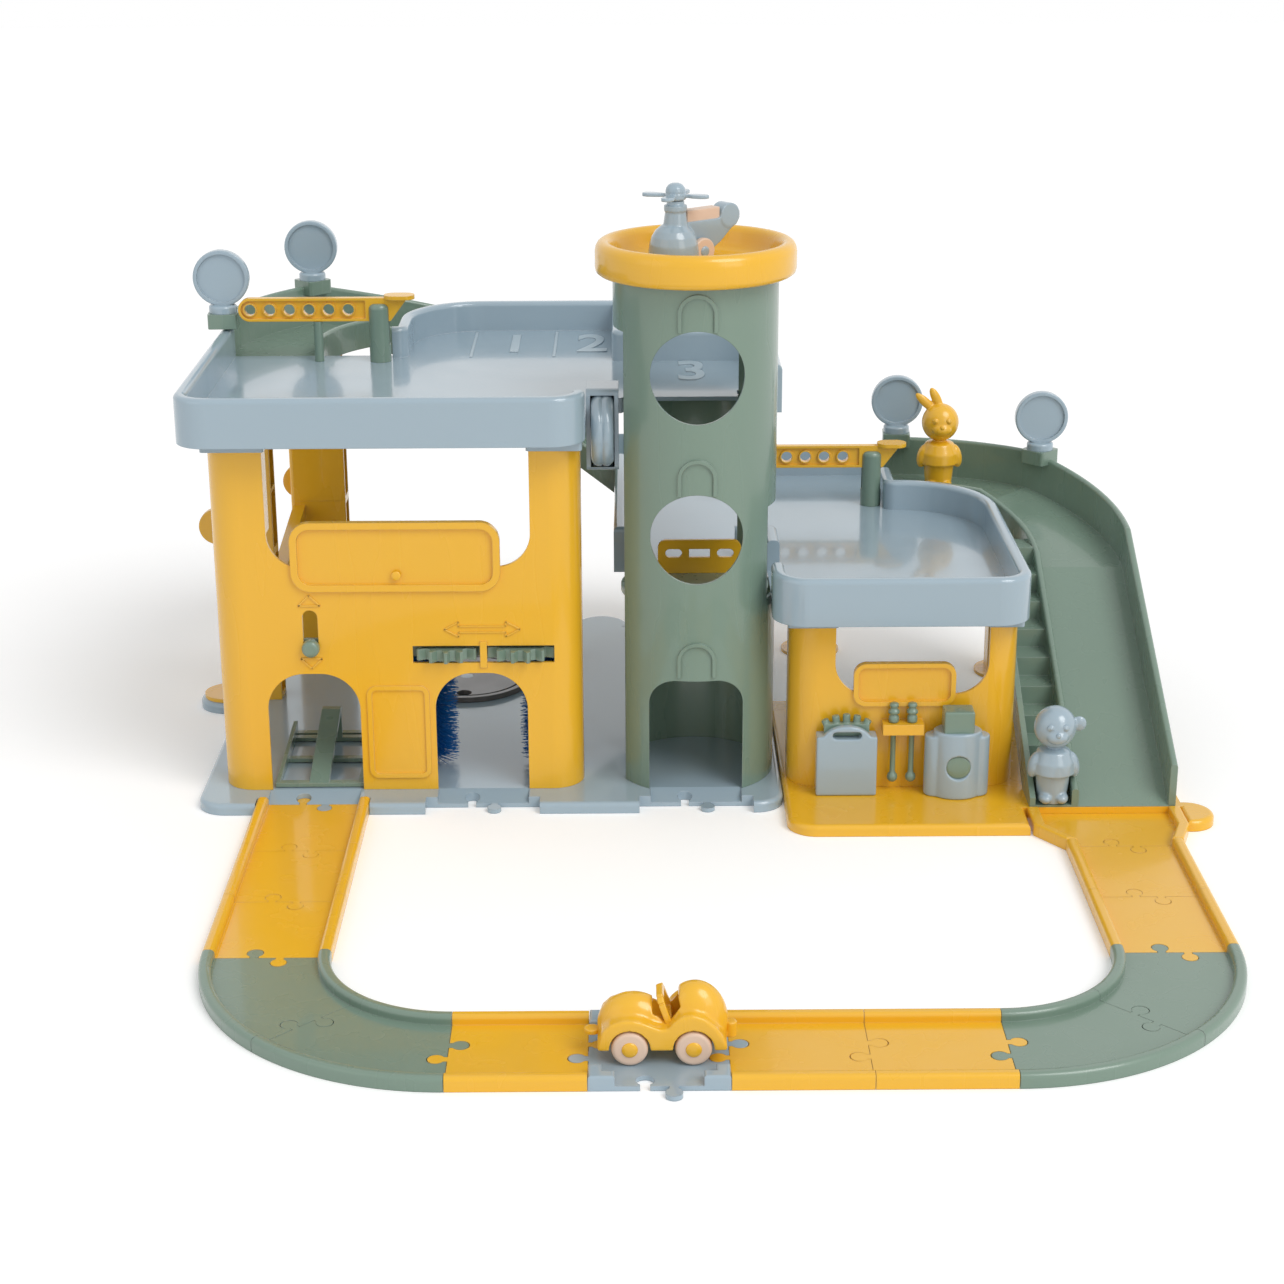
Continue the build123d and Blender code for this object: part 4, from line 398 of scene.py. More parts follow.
def fuse(holder, voxel):
    """Fuse overlapping forms into one skin of even cells."""
    step = holder.modifiers.new("fuse", "REMESH")
    step.mode = "VOXEL"
    step.voxel_size = voxel * MM


def ease(holder, rounds):
    """Round the edges, more with each round."""
    step = holder.modifiers.new("ease", "SMOOTH")
    step.factor = 0.5
    step.iterations = rounds


def moulded(mesh, name, slot, body, voxel, rounds, cuts=None, last=3):
    """Fuse overlapping forms into one skin, round its edges as a mould does, then cut its openings.

    The openings' edges get the last rounds of easing.
    """
    raw = object_of(mesh, "raw_form")
    fuse(raw, voxel)
    ease(raw, rounds)
    cutter = None
    if cuts:
        bmesh.ops.recalc_face_normals(cuts, faces=cuts.faces)
        cutter = object_of(cuts, "cut_form")
        fuse(cutter, voxel)
        opening = raw.modifiers.new("opening", "BOOLEAN")
        opening.operation = "DIFFERENCE"
        opening.object = cutter
        fuse(raw, voxel)
        ease(raw, last)
    skin = worked_out(raw)
    if cutter:
        bpy.data.objects.remove(cutter)
    return smooth_faces(finish_piece(skin, name, slot, body))


def node_copy(node):
    """A merged copy of a carried-over node's mesh."""
    mesh = bmesh.new()
    mesh.from_mesh(frame["nodes"][node].data)
    bmesh.ops.remove_doubles(mesh, verts=mesh.verts, dist=2 * WELD)
    return mesh


# ---------------- marks on the garage ----------------
WALL_FRONT = -45.0
SIGN_FRONT = -47.5
MARK_HEIGHT = 0.8
SLOT_X = -269.5
SLOT_ARROWS = ((146.5, 1), (107.5, -1))      # level of each arrow head's base, and the way it points
SLOT_ARROW_WIDTH, SLOT_ARROW_HEIGHT = 15.0, 7.5
SLOT_ARROW_RIDGE = 1.3
LONG_ARROW_LEFT, LONG_ARROW_RIGHT, LONG_ARROW_Z = -176.0, -123.0, 128.7
LONG_ARROW_HEAD, LONG_ARROW_HALF_HEAD, LONG_ARROW_HALF_SHAFT = 10.0, 5.5, 2.2
LONG_ARROW_RIDGE = 1.2
SIGN_STUD_X, SIGN_STUD_Z = -208.0, 168.7
SIGN_STUD = (3.4, 0.9)       # radius and height
UPPER_FLOOR = 276.0
BAY_LINE_XS = (-166.0, -103.0)
BAY_LINE_START, BAY_LINE_END = 160.0, 248.0
BAY_LINE_WIDTH, BAY_LINE_HEIGHT = 2.2, 0.5
BAY_NUMBERS = (("1", -134.0, 203.0), ("2", -74.5, 203.0), ("3", 0.0, 108.0))
NUMBER_SIZE = 50.0
NUMBER_HALF_DEPTH = 0.4
NUMBER_THICKEN = 0.7
NUMBER_STRETCH = 1.7
NUMBER_LIFT = 0.35


def arrow_head(x, z, width, height, way):
    """Outline of an arrow head, its tip up for way 1 and down for way -1."""
    half = width / 2
    return [(x, z + way * height), (x - half, z), (x + half, z)]


def two_headed_arrow(left, right, z, head, half_head, half_shaft):
    """Outline of a level arrow with a head at each end."""
    return [(left, z), (left + head, z + half_head), (left + head, z + half_shaft),
            (right - head, z + half_shaft), (right - head, z + half_head), (right, z),
            (right - head, z - half_head), (right - head, z - half_shaft),
            (left + head, z - half_shaft), (left + head, z - half_head)]


def front_arrows():
    """Arrow heads above and below the hoist's slot, and a long arrow over the wash."""
    mesh = bmesh.new()
    place = on_front(WALL_FRONT)
    for z, way in SLOT_ARROWS:
        outline = arrow_head(SLOT_X, z, SLOT_ARROW_WIDTH, SLOT_ARROW_HEIGHT, way)
        ridge_loop(mesh, outline, SLOT_ARROW_RIDGE, MARK_HEIGHT, place)
    outline = two_headed_arrow(LONG_ARROW_LEFT, LONG_ARROW_RIGHT, LONG_ARROW_Z,
                               LONG_ARROW_HEAD, LONG_ARROW_HALF_HEAD, LONG_ARROW_HALF_SHAFT)
    ridge_loop(mesh, outline, LONG_ARROW_RIDGE, MARK_HEIGHT, place)
    finish_piece(mesh, "front_wall_arrows", "yellow_plastic", "garage")


def bay_lines():
    mesh = bmesh.new()
    place = shift(0.0, 0.0, UPPER_FLOOR)
    for x in BAY_LINE_XS:
        bar(mesh, (x, BAY_LINE_START), (x, BAY_LINE_END), BAY_LINE_WIDTH, BAY_LINE_HEIGHT, place)
    finish_piece(mesh, "bay_lines", "blue_plastic", "garage", PRINT)


def bay_number(text, x, y):
    """Raised plain number on the upper deck, drawn out along Y."""
    curve = bpy.data.curves.new("number", "FONT")
    curve.body = text
    curve.size = NUMBER_SIZE * MM
    curve.extrude = NUMBER_HALF_DEPTH * MM
    curve.offset = NUMBER_THICKEN * MM
    curve.align_x = "CENTER"
    curve.align_y = "CENTER"
    holder = bpy.data.objects.new("number", curve)
    bpy.context.collection.objects.link(holder)
    mesh = worked_out(holder)
    mesh.transform(stretch(1.0, NUMBER_STRETCH, 1.0))
    mesh.transform(shift(x, y, UPPER_FLOOR + NUMBER_LIFT))
    finish_piece(mesh, "bay_number_" + text, "blue_plastic", "garage", PRINT)


def bay_numbers():
    for text, x, y in BAY_NUMBERS:
        bay_number(text, x, y)


def sign_stud():
    """Small round stud on the long sign, where the moulding was filled."""
    mesh = bmesh.new()
    turned(mesh, dome_profile(*SIGN_STUD), shift(SIGN_STUD_X, SIGN_FRONT, SIGN_STUD_Z) @ FACE_FRONT)
    smooth_faces(finish_piece(mesh, "sign_stud", "yellow_plastic", "garage"))


# ---------------- wash brushes ----------------
CORE_RADIUS = 7.0
BRISTLE_ROWS = 42
BRISTLES_ROUND = 44
BRISTLE_OVER = 3.2          # how far the longest bristles pass the brush's plain form
BRISTLE_UNEVEN = 3.4
BRISTLE_LEAN = 7
BRISTLE_ROOT = 0.42
BRISTLE_TIP = 0.2


def wash_bristles(node, body, seed):
    """Dense nylon bristles round the spindle's core, a little uneven as real ones are."""
    chance = random.Random(seed)
    low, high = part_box(node)
    centre = Vector(((low[0] + high[0]) / 2, (low[1] + high[1]) / 2, low[2]))
    height, reach = high[2] - low[2], (high[0] - low[0]) / 2 + BRISTLE_OVER * MM
    mesh = bmesh.new()
    bmesh.ops.create_cone(mesh, cap_ends=True, segments=20, radius1=CORE_RADIUS * MM,
                          radius2=CORE_RADIUS * MM, depth=height,
                          matrix=Matrix.Translation(centre + Vector((0, 0, height / 2))))
    for row in range(BRISTLE_ROWS):
        for i in range(BRISTLES_ROUND):
            length = reach - CORE_RADIUS * MM - chance.uniform(0.0, BRISTLE_UNEVEN) * MM
            around = FULL_TURN * (i + 0.5 * (row % 2) + chance.uniform(-0.25, 0.25)) / BRISTLES_ROUND
            up = height * (row + 0.5 + chance.uniform(-0.3, 0.3)) / BRISTLE_ROWS
            lean = 90 + chance.uniform(-BRISTLE_LEAN, BRISTLE_LEAN)
            place = (Matrix.Translation(centre + Vector((0, 0, up))) @ Matrix.Rotation(around, 4, "Z")
                     @ shift(CORE_RADIUS, 0, 0) @ rotate(lean, "Y")
                     @ Matrix.Translation((0, 0, length / 2)))
            bmesh.ops.create_cone(mesh, cap_ends=True, segments=3, radius1=BRISTLE_ROOT * MM,
                                  radius2=BRISTLE_TIP * MM, depth=length, matrix=place)
    name = node.replace("wash_brush", "bristles")
    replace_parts(ready_piece(mesh, name, "brush_fibre", body), node)


# ---------------- wheels ----------------
CAR_CAP = (4.6, 1.3)          # radius and height of a wheel's domed cap
HELI_CAP = (3.6, 1.0)


def axle_half_length(node, middle, along):
    return max((Vector(v.co) - middle).dot(along) for v in frame["nodes"][node].data.vertices)


def hub_caps(node, name, slot, body, cap, along):
    """Domed caps on both outer faces of a wheel pair; along is the axle's direction."""
    low, high = (Vector(corner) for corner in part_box(node))
    middle = (low + high) / 2
    reach = axle_half_length(node, middle, along)
    mesh = bmesh.new()
    for side in (-1, 1):
        aim = (along * side).to_track_quat("Z", "Y").to_matrix().to_4x4()
        turned(mesh, dome_profile(*cap), Matrix.Translation(middle + along * side * reach) @ aim)
    smooth_faces(finish_piece(mesh, name, slot, body))


def wheels():
    across = Vector((0.0, 1.0, 0.0))
    for end in ("car_front", "car_rear"):
        hub_caps(end + "_wheels", end + "_caps", "yellow_plastic", end, CAR_CAP, across)
    heading = math.radians(HELI_TURN)
    across = Vector((-math.sin(heading), math.cos(heading), 0.0))
    hub_caps("helicopter_wheels", "helicopter_caps", "blue_plastic", "heli_wheels", HELI_CAP, across)


# ---------------- car; its own frame starts at the front axle's middle ----------------
CAR_PLACE = (-47.5, -420.0, 13.7)
CAR_WHEELBASE = 36.0
CAR_HALF = 18.6
CAR_UNDERSIDE = -1
WHEEL_ROOM = 11.6
WHEEL_INNER = 8.2
AXLE_ROOM = 2.8
CAR_DOMES = (((2, 0, 8), (20.5, 12.5, 18.8)),      # bonnet
             ((13, 0, 8), (12, 12.5, 15.4)),       # scuttle
             ((37, 0, 9), (19, 13.5, 24.8)),       # tail
             ((17, 0, 5), (24, 12.5, 14)))         # cockpit sides
WING_OUTLINE = [(-18.5, CAR_UNDERSIDE), (-18.4, 1.2), (-15.8, 10.6), (-10.9, 15.3), (-4.6, 17.6), (1.7, 18),
                (6.6, 16.8), (11.5, 14.8), (17.1, 12.4), (21.3, 12.4), (24.1, 16), (28.3, 19.7), (35.3, 21.3),
                (42.3, 18.9), (48.7, 13.3), (52.9, 7), (55.1, 1.4), (54.8, CAR_UNDERSIDE)]
COCKPIT_OUTLINE = [(13.5, 6), (12, 50), (31, 50), (27.5, 26), (33, 6)]
COCKPIT_HALF = 9.5
SCREEN_LOOP = [(-9.8, 12), (-9.8, 25), (-7, 27.6), (7, 27.6), (9.8, 25), (9.8, 12)]
SCREEN_X = 24.5
SCREEN_LEAN = -19
SCREEN_RIDGE, SCREEN_DEPTH = 4.0, 3.8
HOOK_X, HOOK_LOW, HOOK_HIGH, HOOK_RADIUS = -21.5, 1.8, 4.8, 4.4
HOOK_TONGUE = ((-21, -2.6, 2), (-15, 2.6, HOOK_HIGH))
HITCH_X, HITCH_LOW, HITCH_HIGH, HITCH_RADIUS = 57.5, -0.8, 8.6, 3.5
HITCH_TONGUE = ((50, -3, -0.4), (58, 3, 2.8))
CLEAR = 30          # past the car's left and right sides
BELOW_CAR = ((-40, -CLEAR, -40), (80, CLEAR, CAR_UNDERSIDE))


def car_cuts():
    """Cockpit, axle and wheel room, and all below the underside."""
    cuts = bmesh.new()
    upright(cuts, COCKPIT_OUTLINE, -COCKPIT_HALF, COCKPIT_HALF)
    for x in (0.0, CAR_WHEELBASE):
        rod(cuts, (x, -CLEAR, 0), (x, CLEAR, 0), AXLE_ROOM)
        for side in (-1, 1):
            inner, outer = side * WHEEL_INNER, side * CLEAR
            rod(cuts, (x, inner, 0), (x, outer, 0), WHEEL_ROOM)
            brick(cuts, (x - WHEEL_ROOM, min(inner, outer), -WHEEL_ROOM),
                  (x + WHEEL_ROOM, max(inner, outer), 0))
    brick(cuts, *BELOW_CAR)
    return cuts


def car_trim():
    """Leaning screen frame, front hook and rear hitch."""
    trim = bmesh.new()
    screen_plane = shift(SCREEN_X, 0, 0) @ rotate(SCREEN_LEAN, "Y") @ rotate(90, "Z") @ rotate(90, "X")
    ridge_loop(trim, SCREEN_LOOP, SCREEN_RIDGE, SCREEN_DEPTH, screen_plane)
    rod(trim, (HOOK_X, 0, HOOK_LOW), (HOOK_X, 0, HOOK_HIGH), HOOK_RADIUS)
    brick(trim, *HOOK_TONGUE)
    brick(trim, *HITCH_TONGUE)
    rod(trim, (HITCH_X, 0, HITCH_LOW), (HITCH_X, 0, HITCH_HIGH), HITCH_RADIUS)
    return trim


def car():
    """Open roadster: domed bonnet, wings over the wheels, scooped cockpit and humped tail."""
    place = Matrix.Translation(Vector(CAR_PLACE) * MM)
    mesh = bmesh.new()
    for centre, radii in CAR_DOMES:
        ball(mesh, centre, radii)
    upright(mesh, WING_OUTLINE, -CAR_HALF, CAR_HALF)
    cuts, trim = car_cuts(), car_trim()
    for form in (mesh, cuts, trim):
        form.transform(place)
    body = moulded(mesh, "car_moulding", "yellow_plastic", "garage", voxel=0.6, rounds=24, cuts=cuts, last=5)
    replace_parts(body, "car_body")
    moulded(trim, "car_screen_and_hooks", "yellow_plastic", "garage", voxel=0.4, rounds=8)


# ---------------- helicopter; its own frame stands on the pad below the rotor ----------------
HELI_TURN = 38.0
HELI_PLACE = (-14.0, -6.0, 376.3)
HELI_FRAME = Matrix.Translation(Vector(HELI_PLACE) * MM) @ rotate(HELI_TURN, "Z")
CABIN_BACK = -1.5
CABIN_PROFILE = [(0.0, 0.0), (16.8, 0.0), (18.0, 0.6), (18.0, 2.0), (17.2, 2.8), (17.2, 10.0), (16.6, 15.0),
                 (15.0, 20.0), (12.4, 24.0), (9.0, 27.0), (4.0, 28.6), (0.0, 29.0)]
MAST_STEPS = ((22, 38, 9.2, 6.9), (37, 41, 7.9, 7.9), (40, 43.9, 6.0, 6.0))      # low, high, two radii
BOOM_OUTLINE = [(3, 6), (12, 3.5), (22, 4.5), (36, 13), (50, 25), (48, 35), (40, 33), (34, 29), (8, 29)]
BOOM_HALF = 5.4
TAIL_X, TAIL_Z, TAIL_HALF, TAIL_RADIUS = 44, 30, 5.8, 8.4
BOOM_BLOCK = ((7, -4.4, 28), (35.5, 4.4, 36.6))
HUB_PROFILE = [(0.0, 44.2), (6.4, 44.2), (7.2, 45.0), (7.2, 48.0), (6.6, 49.0), (6.9, 50.0), (6.4, 52.4),
               (4.6, 54.6), (2.4, 55.6), (0.0, 55.7)]
BLADE_SIDE = [(3, -2.0), (9, -2.0), (13, -3.9), (19, -4.4), (22.5, -3.0)]
BLADE_TIP = (23.6, 0)
BLADE_OUTLINE = BLADE_SIDE + [BLADE_TIP] + [(x, -y) for x, y in reversed(BLADE_SIDE)]
BLADES = 4
FIRST_BLADE = -56
BLADE_LEVEL = 46.0
BLADE_THICKNESS = 2.4


def helicopter():
    """Domed cabin with a stepped mast, wedge boom, round tail and a pale block on the boom."""
    mesh = bmesh.new()
    turned(mesh, CABIN_PROFILE, shift(CABIN_BACK, 0, 0))
    for low, high, radius, radius_end in MAST_STEPS:
        rod(mesh, (0, 0, low), (0, 0, high), radius, radius_end)
    upright(mesh, BOOM_OUTLINE, -BOOM_HALF, BOOM_HALF)
    rod(mesh, (TAIL_X, -TAIL_HALF, TAIL_Z), (TAIL_X, TAIL_HALF, TAIL_Z), TAIL_RADIUS)
    mesh.transform(HELI_FRAME)
    body = moulded(mesh, "helicopter_moulding", "blue_plastic", "garage", voxel=0.5, rounds=7)
    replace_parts(body, "helicopter_body")

    block = bmesh.new()
    brick(block, *BOOM_BLOCK)
    block.transform(HELI_FRAME)
    seat = moulded(block, "helicopter_block", "cream_plastic", "garage", voxel=0.4, rounds=6)
    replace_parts(seat, "helicopter_seat")


def rotor():
    """Four paddle blades round a knobbed hub."""
    mesh = bmesh.new()
    turned(mesh, HUB_PROFILE, Matrix.Identity(4))
    for i in range(BLADES):
        around = rotate(FIRST_BLADE + 360 // BLADES * i, "Z")
        raised_shape(mesh, BLADE_OUTLINE, BLADE_THICKNESS, around @ shift(0, 0, BLADE_LEVEL))
    mesh.transform(HELI_FRAME)
    blades = moulded(mesh, "helicopter_blades", "blue_plastic", "heli_rotor", voxel=0.4, rounds=5)
    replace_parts(blades, "helicopter_rotor")


# ---------------- peg figures ----------------
EYE_SIDE, EYE_OUT, EYE_UP = 5.0, 12.6, 3.4          # from the middle of the head
NOSE_OUT, NOSE_DOWN = 15.3, 1.2
EYE = (2.6, 1.0)          # radius and height of each dome
PUPIL = (1.3, 1.9)
NOSE = (1.8, 1.6)


def figure(node, name, slot, head):
    """Peg figure with softened forms, round eyes and a nose of the same moulding."""
    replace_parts(moulded(node_copy(node), name, slot, "garage", voxel=0.55, rounds=8), node)
    x, y, z = head
    mesh = bmesh.new()
    for side in (-1, 1):
        spot = Matrix.Translation(Vector((x + side * EYE_SIDE, y - EYE_OUT, z + EYE_UP)) * MM)
        for dome in (EYE, PUPIL):
            turned(mesh, dome_profile(*dome), spot @ FACE_FRONT)
    spot = Matrix.Translation(Vector((x, y - NOSE_OUT, z - NOSE_DOWN)) * MM)
    turned(mesh, dome_profile(*NOSE), spot @ FACE_FRONT)
    smooth_faces(finish_piece(mesh, name + "_face", slot, "garage"))


def figures():
    figure("bear_figure", "bear_moulding", "blue_plastic", (249.5, -74.0, 64.5))
    figure("rabbit_figure", "rabbit_moulding", "yellow_plastic", (203.0, 244.0, 202.5))


# ---------------- helipad and crank wheel ----------------
BOWL_PROFILE = [(0, 373), (57.3, 373), (57.3, 370), (63.6, 370), (66.4, 370.5), (68.3, 372), (69, 374.8),
                (69, 385.6), (68.4, 388.8), (67, 391.2), (65, 392.6), (62.6, 393), (60.4, 392.4),
                (58.7, 390.8), (57.6, 388.2), (56.4, 384), (54.6, 379.6), (52.6, 377.2), (50, 376.1),
                (46, 376), (0, 376)]
CRANK_MIDDLE = -64.7
CRANK_HALF = 7.9
CRANK_AXLE = 4.0
EDGE_ROLL = ((4.6, 0), (2.4, 0.7), (0.8, 2.2), (0, 4.4))      # in from the rim, in from the side
GROOVE_HALF, GROOVE_DEPTH = 1.0, 0.7


def helipad():
    """Landing bowl with a thick rolled rim, turned in one piece."""
    mesh = bmesh.new()
    turned(mesh, BOWL_PROFILE, Matrix.Identity(4), steps=96)
    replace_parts(smooth_faces(finish_piece(mesh, "landing_bowl", "yellow_plastic", "garage")), "helipad")


def crank_drum():
    """Broad hand wheel with rolled edges and a shallow groove round its middle."""
    low, high = (Vector(corner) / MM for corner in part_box("crank_wheel"))
    y, z = (low.y + high.y) / 2, (low.z + high.z) / 2
    radius = (high.z - low.z) / 2
    half_profile = [(0, -CRANK_HALF)]
    half_profile += [(radius - inset, rise - CRANK_HALF) for inset, rise in EDGE_ROLL]
    half_profile += [(radius, -GROOVE_HALF), (radius - GROOVE_DEPTH, -GROOVE_HALF / 2)]
    profile = half_profile + [(r, -height) for r, height in reversed(half_profile)]
    mesh = bmesh.new()
    turned(mesh, profile, shift(CRANK_MIDDLE, y, z) @ rotate(90, "Y"), steps=72)
    rod(mesh, (low.x, y, z), (high.x, y, z), CRANK_AXLE)
    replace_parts(smooth_faces(finish_piece(mesh, "crank_drum", "blue_plastic", "crank")), "crank_wheel")


# ---------------- stand-ups on the forecourt ----------------
FORECOURT = 8          # level of the forecourt's floor
PUMP_X = 184
LOBE_SIDE, LOBE_Y, LOBE_TOP, LOBE_RADIUS = 15, -57, 53, 8.0
BELLY_Y, BELLY_Z, BELLY_HEIGHT, BELLY_RADIUS, BELLY_WIDEN = -58.3, 32.5, 49, 13, 1.32
PUMP_HALF, PUMP_FRONT, PUMP_BACK, PUMP_TOP = 18, -60, -45.5, 52
DIAL_Z, DIAL_FRONT, DIAL_BED, DIAL_ROOM = 32, -69.2, -68.6, 8.9
DIAL = (8.5, 1.0)          # radius and height
CAP_HALF, CAP_FRONT, CAP_BACK, CAP_LOW, CAP_HIGH = 10.6, -67.5, -50.6, 55, 72.8
CASE_X = 106
CASE_HALF, CASE_FRONT, CASE_BACK, CASE_TOP = 21.4, -62.4, -47.8, 52.5
ARCH_Y, ARCH_Z, ARCH_DEPTH, ARCH_RADIUS, ARCH_WIDEN = -59.2, 48, 6, 12.4, 1.45
CASE_SLOT_HALF, CASE_SLOT_Z, CASE_SLOT_ROUND = 7.5, 53.5, 2.7
TOOLS = 5
TOOL_PITCH, TOOL_RADIUS, TOOL_Y = 6.8, 2.7, -52
TOOL_FOOT, TOOL_TIP = 58, 66.4
TOOL_SPREAD = 1.14          # of the tips, to their feet
TOOL_FALL = 0.0225          # of the tips, by the square of the way off the middle
TOOL_ROOT = ((-16, -55.6, 51), (16, -48.6, 60))          # from the case's middle
LANCE_XS = (139.5, 152.5)
LANCE_Y = -51.0
LANCE_PROFILE = [(0, 14.5), (2.2, 15), (3.4, 16.4), (3.8, 18.2), (3.4, 20.2), (2.2, 21.6), (1.9, 23),
                 (1.9, 59.8), (3.3, 60), (3.7, 61), (3.5, 64.4), (2.6, 65.2), (2.6, 66.2), (3.9, 66.8),
                 (4.0, 68.2), (3.4, 69.2), (2.5, 70), (2.5, 71), (3.2, 71.6), (3.2, 73.4), (2.4, 74.3),
                 (0, 74.5)]


def pump():
    """Three rounded lobes, a sunk dial and a soft square cap."""
    mesh = bmesh.new()
    for side in (-1, 1):
        x = PUMP_X + side * LOBE_SIDE
        rod(mesh, (x, LOBE_Y, FORECOURT), (x, LOBE_Y, LOBE_TOP), LOBE_RADIUS)
    belly = shift(PUMP_X, BELLY_Y, BELLY_Z) @ stretch(BELLY_WIDEN, 1.0, 1.0)
    drum(mesh, BELLY_RADIUS, BELLY_HEIGHT, 48, belly)
    brick(mesh, (PUMP_X - PUMP_HALF, PUMP_FRONT, FORECOURT), (PUMP_X + PUMP_HALF, PUMP_BACK, PUMP_TOP))
    cuts = bmesh.new()
    rod(cuts, (PUMP_X, -80, DIAL_Z), (PUMP_X, DIAL_BED, DIAL_Z), DIAL_ROOM)
    brick(cuts, (150, -90, 0), (220, -40, FORECOURT))
    body = moulded(mesh, "pump_moulding", "blue_plastic", "garage", voxel=0.6, rounds=14, cuts=cuts)
    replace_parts(body, "fuel_pump")

    cap = bmesh.new()
    brick(cap, (PUMP_X - CAP_HALF, CAP_FRONT, CAP_LOW), (PUMP_X + CAP_HALF, CAP_BACK, CAP_HIGH))
    fit = moulded(cap, "pump_cap", "green_plastic", "garage", voxel=0.6, rounds=26)
    dial = bmesh.new()
    turned(dial, dome_profile(*DIAL), shift(PUMP_X, DIAL_FRONT, DIAL_Z) @ FACE_FRONT)
    smooth_faces(finish_piece(dial, "pump_dial", "green_plastic", "garage"))
    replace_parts(fit, "pump_insert")


def case():
    """Upright case with an arched front, a hand slot and a fan of tools behind it."""
    mesh = bmesh.new()
    brick(mesh, (CASE_X - CASE_HALF, CASE_FRONT, FORECOURT), (CASE_X + CASE_HALF, CASE_BACK, CASE_TOP))
    arch = shift(CASE_X, ARCH_Y, ARCH_Z) @ FACE_FRONT @ stretch(ARCH_WIDEN, 1.0, 1.0)
    drum(mesh, ARCH_RADIUS, ARCH_DEPTH, 64, arch)
    cuts = bmesh.new()
    left, right = CASE_X - CASE_SLOT_HALF, CASE_X + CASE_SLOT_HALF
    for x in (left, right):
        rod(cuts, (x, -70, CASE_SLOT_Z), (x, -40, CASE_SLOT_Z), CASE_SLOT_ROUND)
    brick(cuts, (left, -70, CASE_SLOT_Z - CASE_SLOT_ROUND), (right, -40, CASE_SLOT_Z + CASE_SLOT_ROUND))
    brick(cuts, (70, -80, 0), (140, -30, FORECOURT))
    body = moulded(mesh, "case_moulding", "blue_plastic", "garage", voxel=0.6, rounds=22, cuts=cuts)
    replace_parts(body, "tool_case")

    tools = bmesh.new()
    low, high = TOOL_ROOT
    brick(tools, (CASE_X + low[0], *low[1:]), (CASE_X + high[0], *high[1:]))
    for i in range(TOOLS):
        off = TOOL_PITCH * (i - (TOOLS - 1) / 2)
        foot = (CASE_X + off, TOOL_Y, TOOL_FOOT)
        tip = (CASE_X + TOOL_SPREAD * off, TOOL_Y, TOOL_TIP - TOOL_FALL * off ** 2)
        rod(tools, foot, tip, TOOL_RADIUS)
    fan = moulded(tools, "case_tools", "green_plastic", "garage", voxel=0.5, rounds=6)
    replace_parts(fan, "case_insert")


def lances():
    """Two thin lances with stacked collars at the top and a ball at the foot."""
    mesh = bmesh.new()
    for x in LANCE_XS:
        turned(mesh, LANCE_PROFILE, shift(x, LANCE_Y, 0))
    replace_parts(smooth_faces(finish_piece(mesh, "lances", "green_plastic", "garage")), "nozzles")


# ---------------- light, floor and camera ----------------
FLOOR_HALF = 6.0
FLOOR_DROP = 0.0002          # keeps the floor clear of the faces that stand on it
FLOOR_WHITE = (0.95, 0.95, 0.95, 1.0)
FLOOR_LIFT = 0.16
ROOM_LIGHT = 0.62
SEEN_RAYS = ("Is Camera Ray", "Is Glossy Ray", "Is Transmission Ray")
KEY_AIM = Vector((-0.62, 0.62, -1.0))
KEY_POWER = 1.25
KEY_SPREAD = 32
LAMPS = (("fill_light", (-1.8, -1.4, 1.2), (0.0, 0.0, 0.2), 1.6, 3.0),      # place, target, size, power
         ("front_panel", (1.3, -1.6, 0.9), (0.1, 0.0, 0.2), 0.9, 4.0))


def seen_rays(tree):
    """One where a ray is looked along, straight or in a reflection, and else zero."""
    path = tree.nodes.new("ShaderNodeLightPath")
    total = path.outputs[SEEN_RAYS[0]]
    for name in SEEN_RAYS[1:]:
        total = combine(tree, "ADD", total, path.outputs[name])
        total.node.use_clamp = True
    return total


def emission(tree, strength):
    glow = tree.nodes.new("ShaderNodeEmission")
    glow.inputs["Strength"].default_value = strength
    return glow.outputs["Emission"]


def white_background(tree, strength):
    light = tree.nodes.new("ShaderNodeBackground")
    light.inputs["Color"].default_value = WHITE
    light.inputs["Strength"].default_value = strength
    return light.outputs["Background"]


def pick_for_seen(tree, otherwise, seen):
    """Mix that shows one shader to seen rays and another to the rest."""
    pick = tree.nodes.new("ShaderNodeMixShader")
    tree.links.new(seen_rays(tree), pick.inputs["Fac"])
    tree.links.new(otherwise, pick.inputs[1])
    tree.links.new(seen, pick.inputs[2])
    return pick.outputs["Shader"]


def studio_floor():
    """White floor, lifted a little to seen rays so that it meets the background."""
    mesh = bmesh.new()
    bmesh.ops.create_grid(mesh, x_segments=1, y_segments=1, size=FLOOR_HALF)
    floor = object_of(mesh, "studio_floor")
    floor.location.z = -FLOOR_DROP
    material = bpy.data.materials.new("studio_white")
    material.use_nodes = True
    tree = material.node_tree
    shader = tree.nodes["Principled BSDF"]
    shader.inputs["Base Color"].default_value = FLOOR_WHITE
    shader.inputs["Roughness"].default_value = 0.8
    shader.inputs["Specular IOR Level"].default_value = 0.1
    both = tree.nodes.new("ShaderNodeAddShader")
    tree.links.new(shader.outputs["BSDF"], both.inputs[0])
    tree.links.new(pick_for_seen(tree, emission(tree, 0.0), emission(tree, FLOOR_LIFT)), both.inputs[1])
    tree.links.new(both.outputs["Shader"], tree.nodes["Material Output"].inputs["Surface"])
    floor.data.materials.append(material)


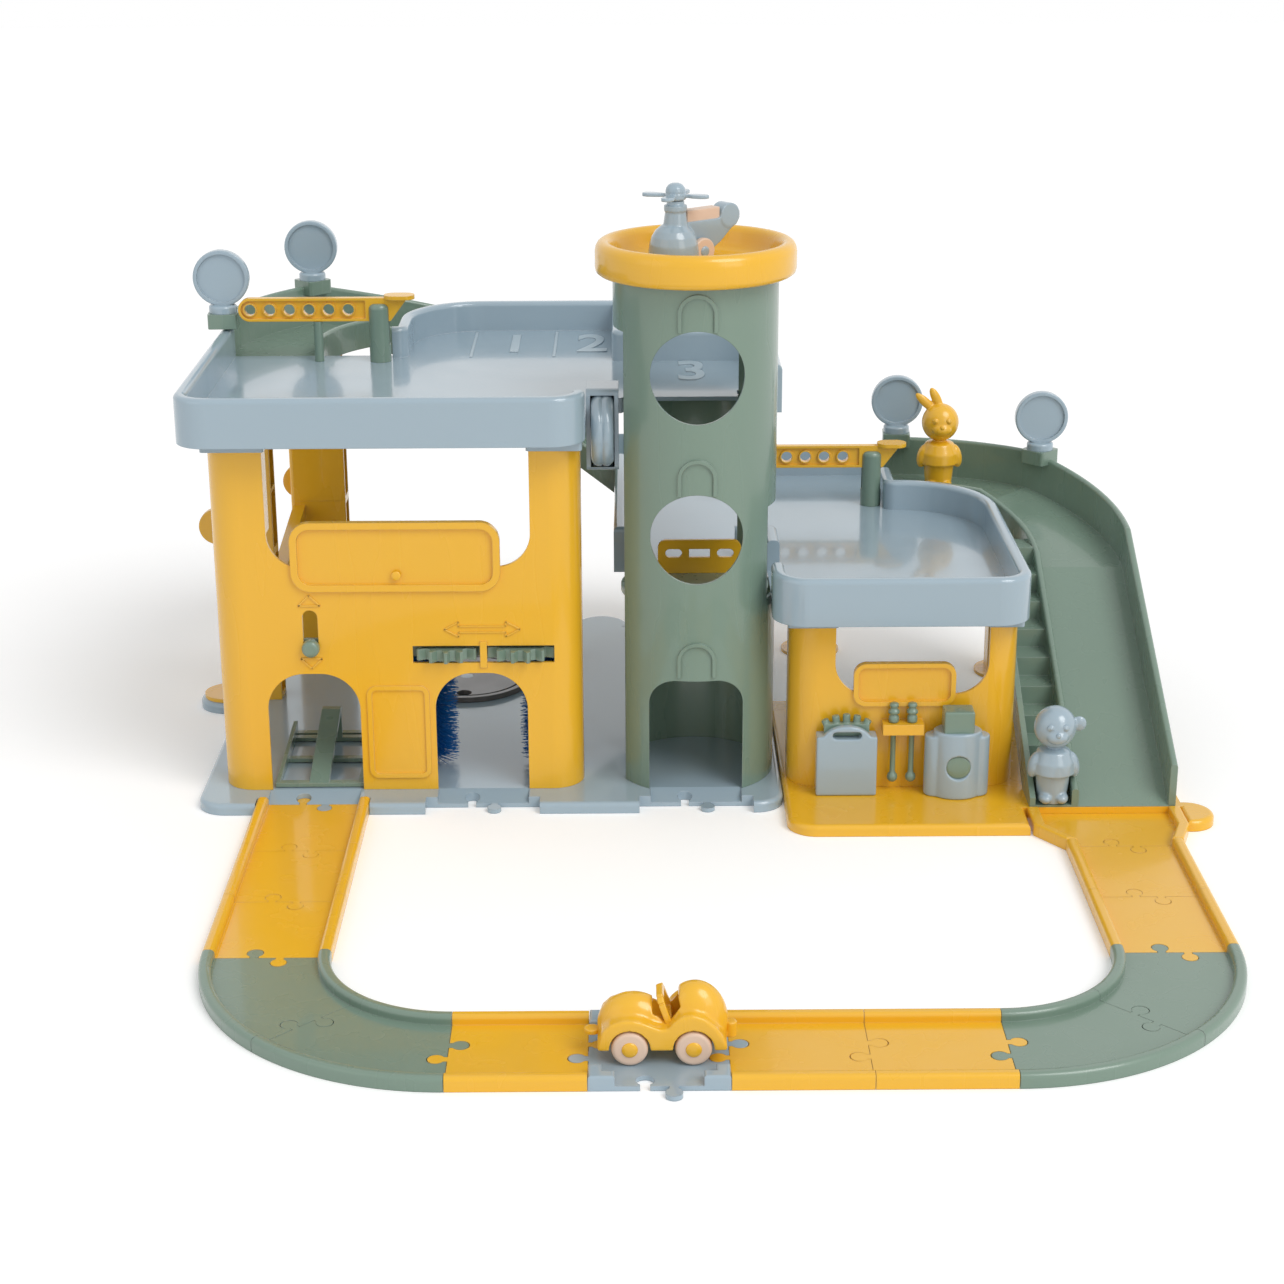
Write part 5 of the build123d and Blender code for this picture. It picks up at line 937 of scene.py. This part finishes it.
def soft_room():
    """Even light from all round, and plain white to seen rays."""
    world = bpy.data.worlds.new("soft_room")
    bpy.context.scene.world = world
    world.use_nodes = True
    tree = world.node_tree
    tree.nodes.clear()
    output = tree.nodes.new("ShaderNodeOutputWorld")
    room = pick_for_seen(tree, white_background(tree, ROOM_LIGHT), white_background(tree, 1.0))
    tree.links.new(room, output.inputs["Surface"])


def lamp(name, place, target, size, power):
    data = bpy.data.lights.new(name, "AREA")
    data.shape = "SQUARE"
    data.size = size
    data.energy = power
    piece = bpy.data.objects.new(name, data)
    piece.location = place
    piece.rotation_euler = (Vector(target) - Vector(place)).to_track_quat("-Z", "Y").to_euler()
    bpy.context.collection.objects.link(piece)


def lights():
    data = bpy.data.lights.new("key_light", "SUN")
    data.energy = KEY_POWER
    data.angle = math.radians(KEY_SPREAD)
    key = bpy.data.objects.new("key_light", data)
    key.rotation_euler = KEY_AIM.to_track_quat("-Z", "Y").to_euler()
    bpy.context.collection.objects.link(key)
    for values in LAMPS:
        lamp(*values)


def camera():
    """The photograph's view: yaw about +Z, then pitch down, then roll about the view."""
    data = bpy.data.cameras.new("photo_view")
    data.lens = CAMERA_LENS
    data.sensor_width = SENSOR_WIDTH
    data.sensor_fit = "HORIZONTAL"
    data.clip_end = 30.0
    view = bpy.data.objects.new("photo_view", data)
    ahead = Vector((math.sin(CAMERA_YAW) * math.cos(CAMERA_PITCH),
                    math.cos(CAMERA_YAW) * math.cos(CAMERA_PITCH), -math.sin(CAMERA_PITCH)))
    right = Vector((math.cos(CAMERA_YAW), -math.sin(CAMERA_YAW), 0.0))
    up = right.cross(ahead)
    turned_right = right * math.cos(CAMERA_ROLL) + up * math.sin(CAMERA_ROLL)
    turned_up = up * math.cos(CAMERA_ROLL) - right * math.sin(CAMERA_ROLL)
    basis = Matrix((turned_right, turned_up, -ahead)).transposed().to_4x4()
    view.matrix_world = Matrix.Translation(CAMERA_PLACE) @ basis
    bpy.context.collection.objects.link(view)
    bpy.context.scene.camera = view


dress_nodes()
front_arrows()
bay_lines()
bay_numbers()
wash_bristles("wash_brush_left", "brush_l", 11)
wash_bristles("wash_brush_right", "brush_r", 23)
wheels()
car()
helicopter()
rotor()
figures()
helipad()
crank_drum()
pump()
case()
lances()
sign_stud()
studio_floor()
soft_room()
lights()
camera()
bpy.context.scene.view_settings.view_transform = "Standard"
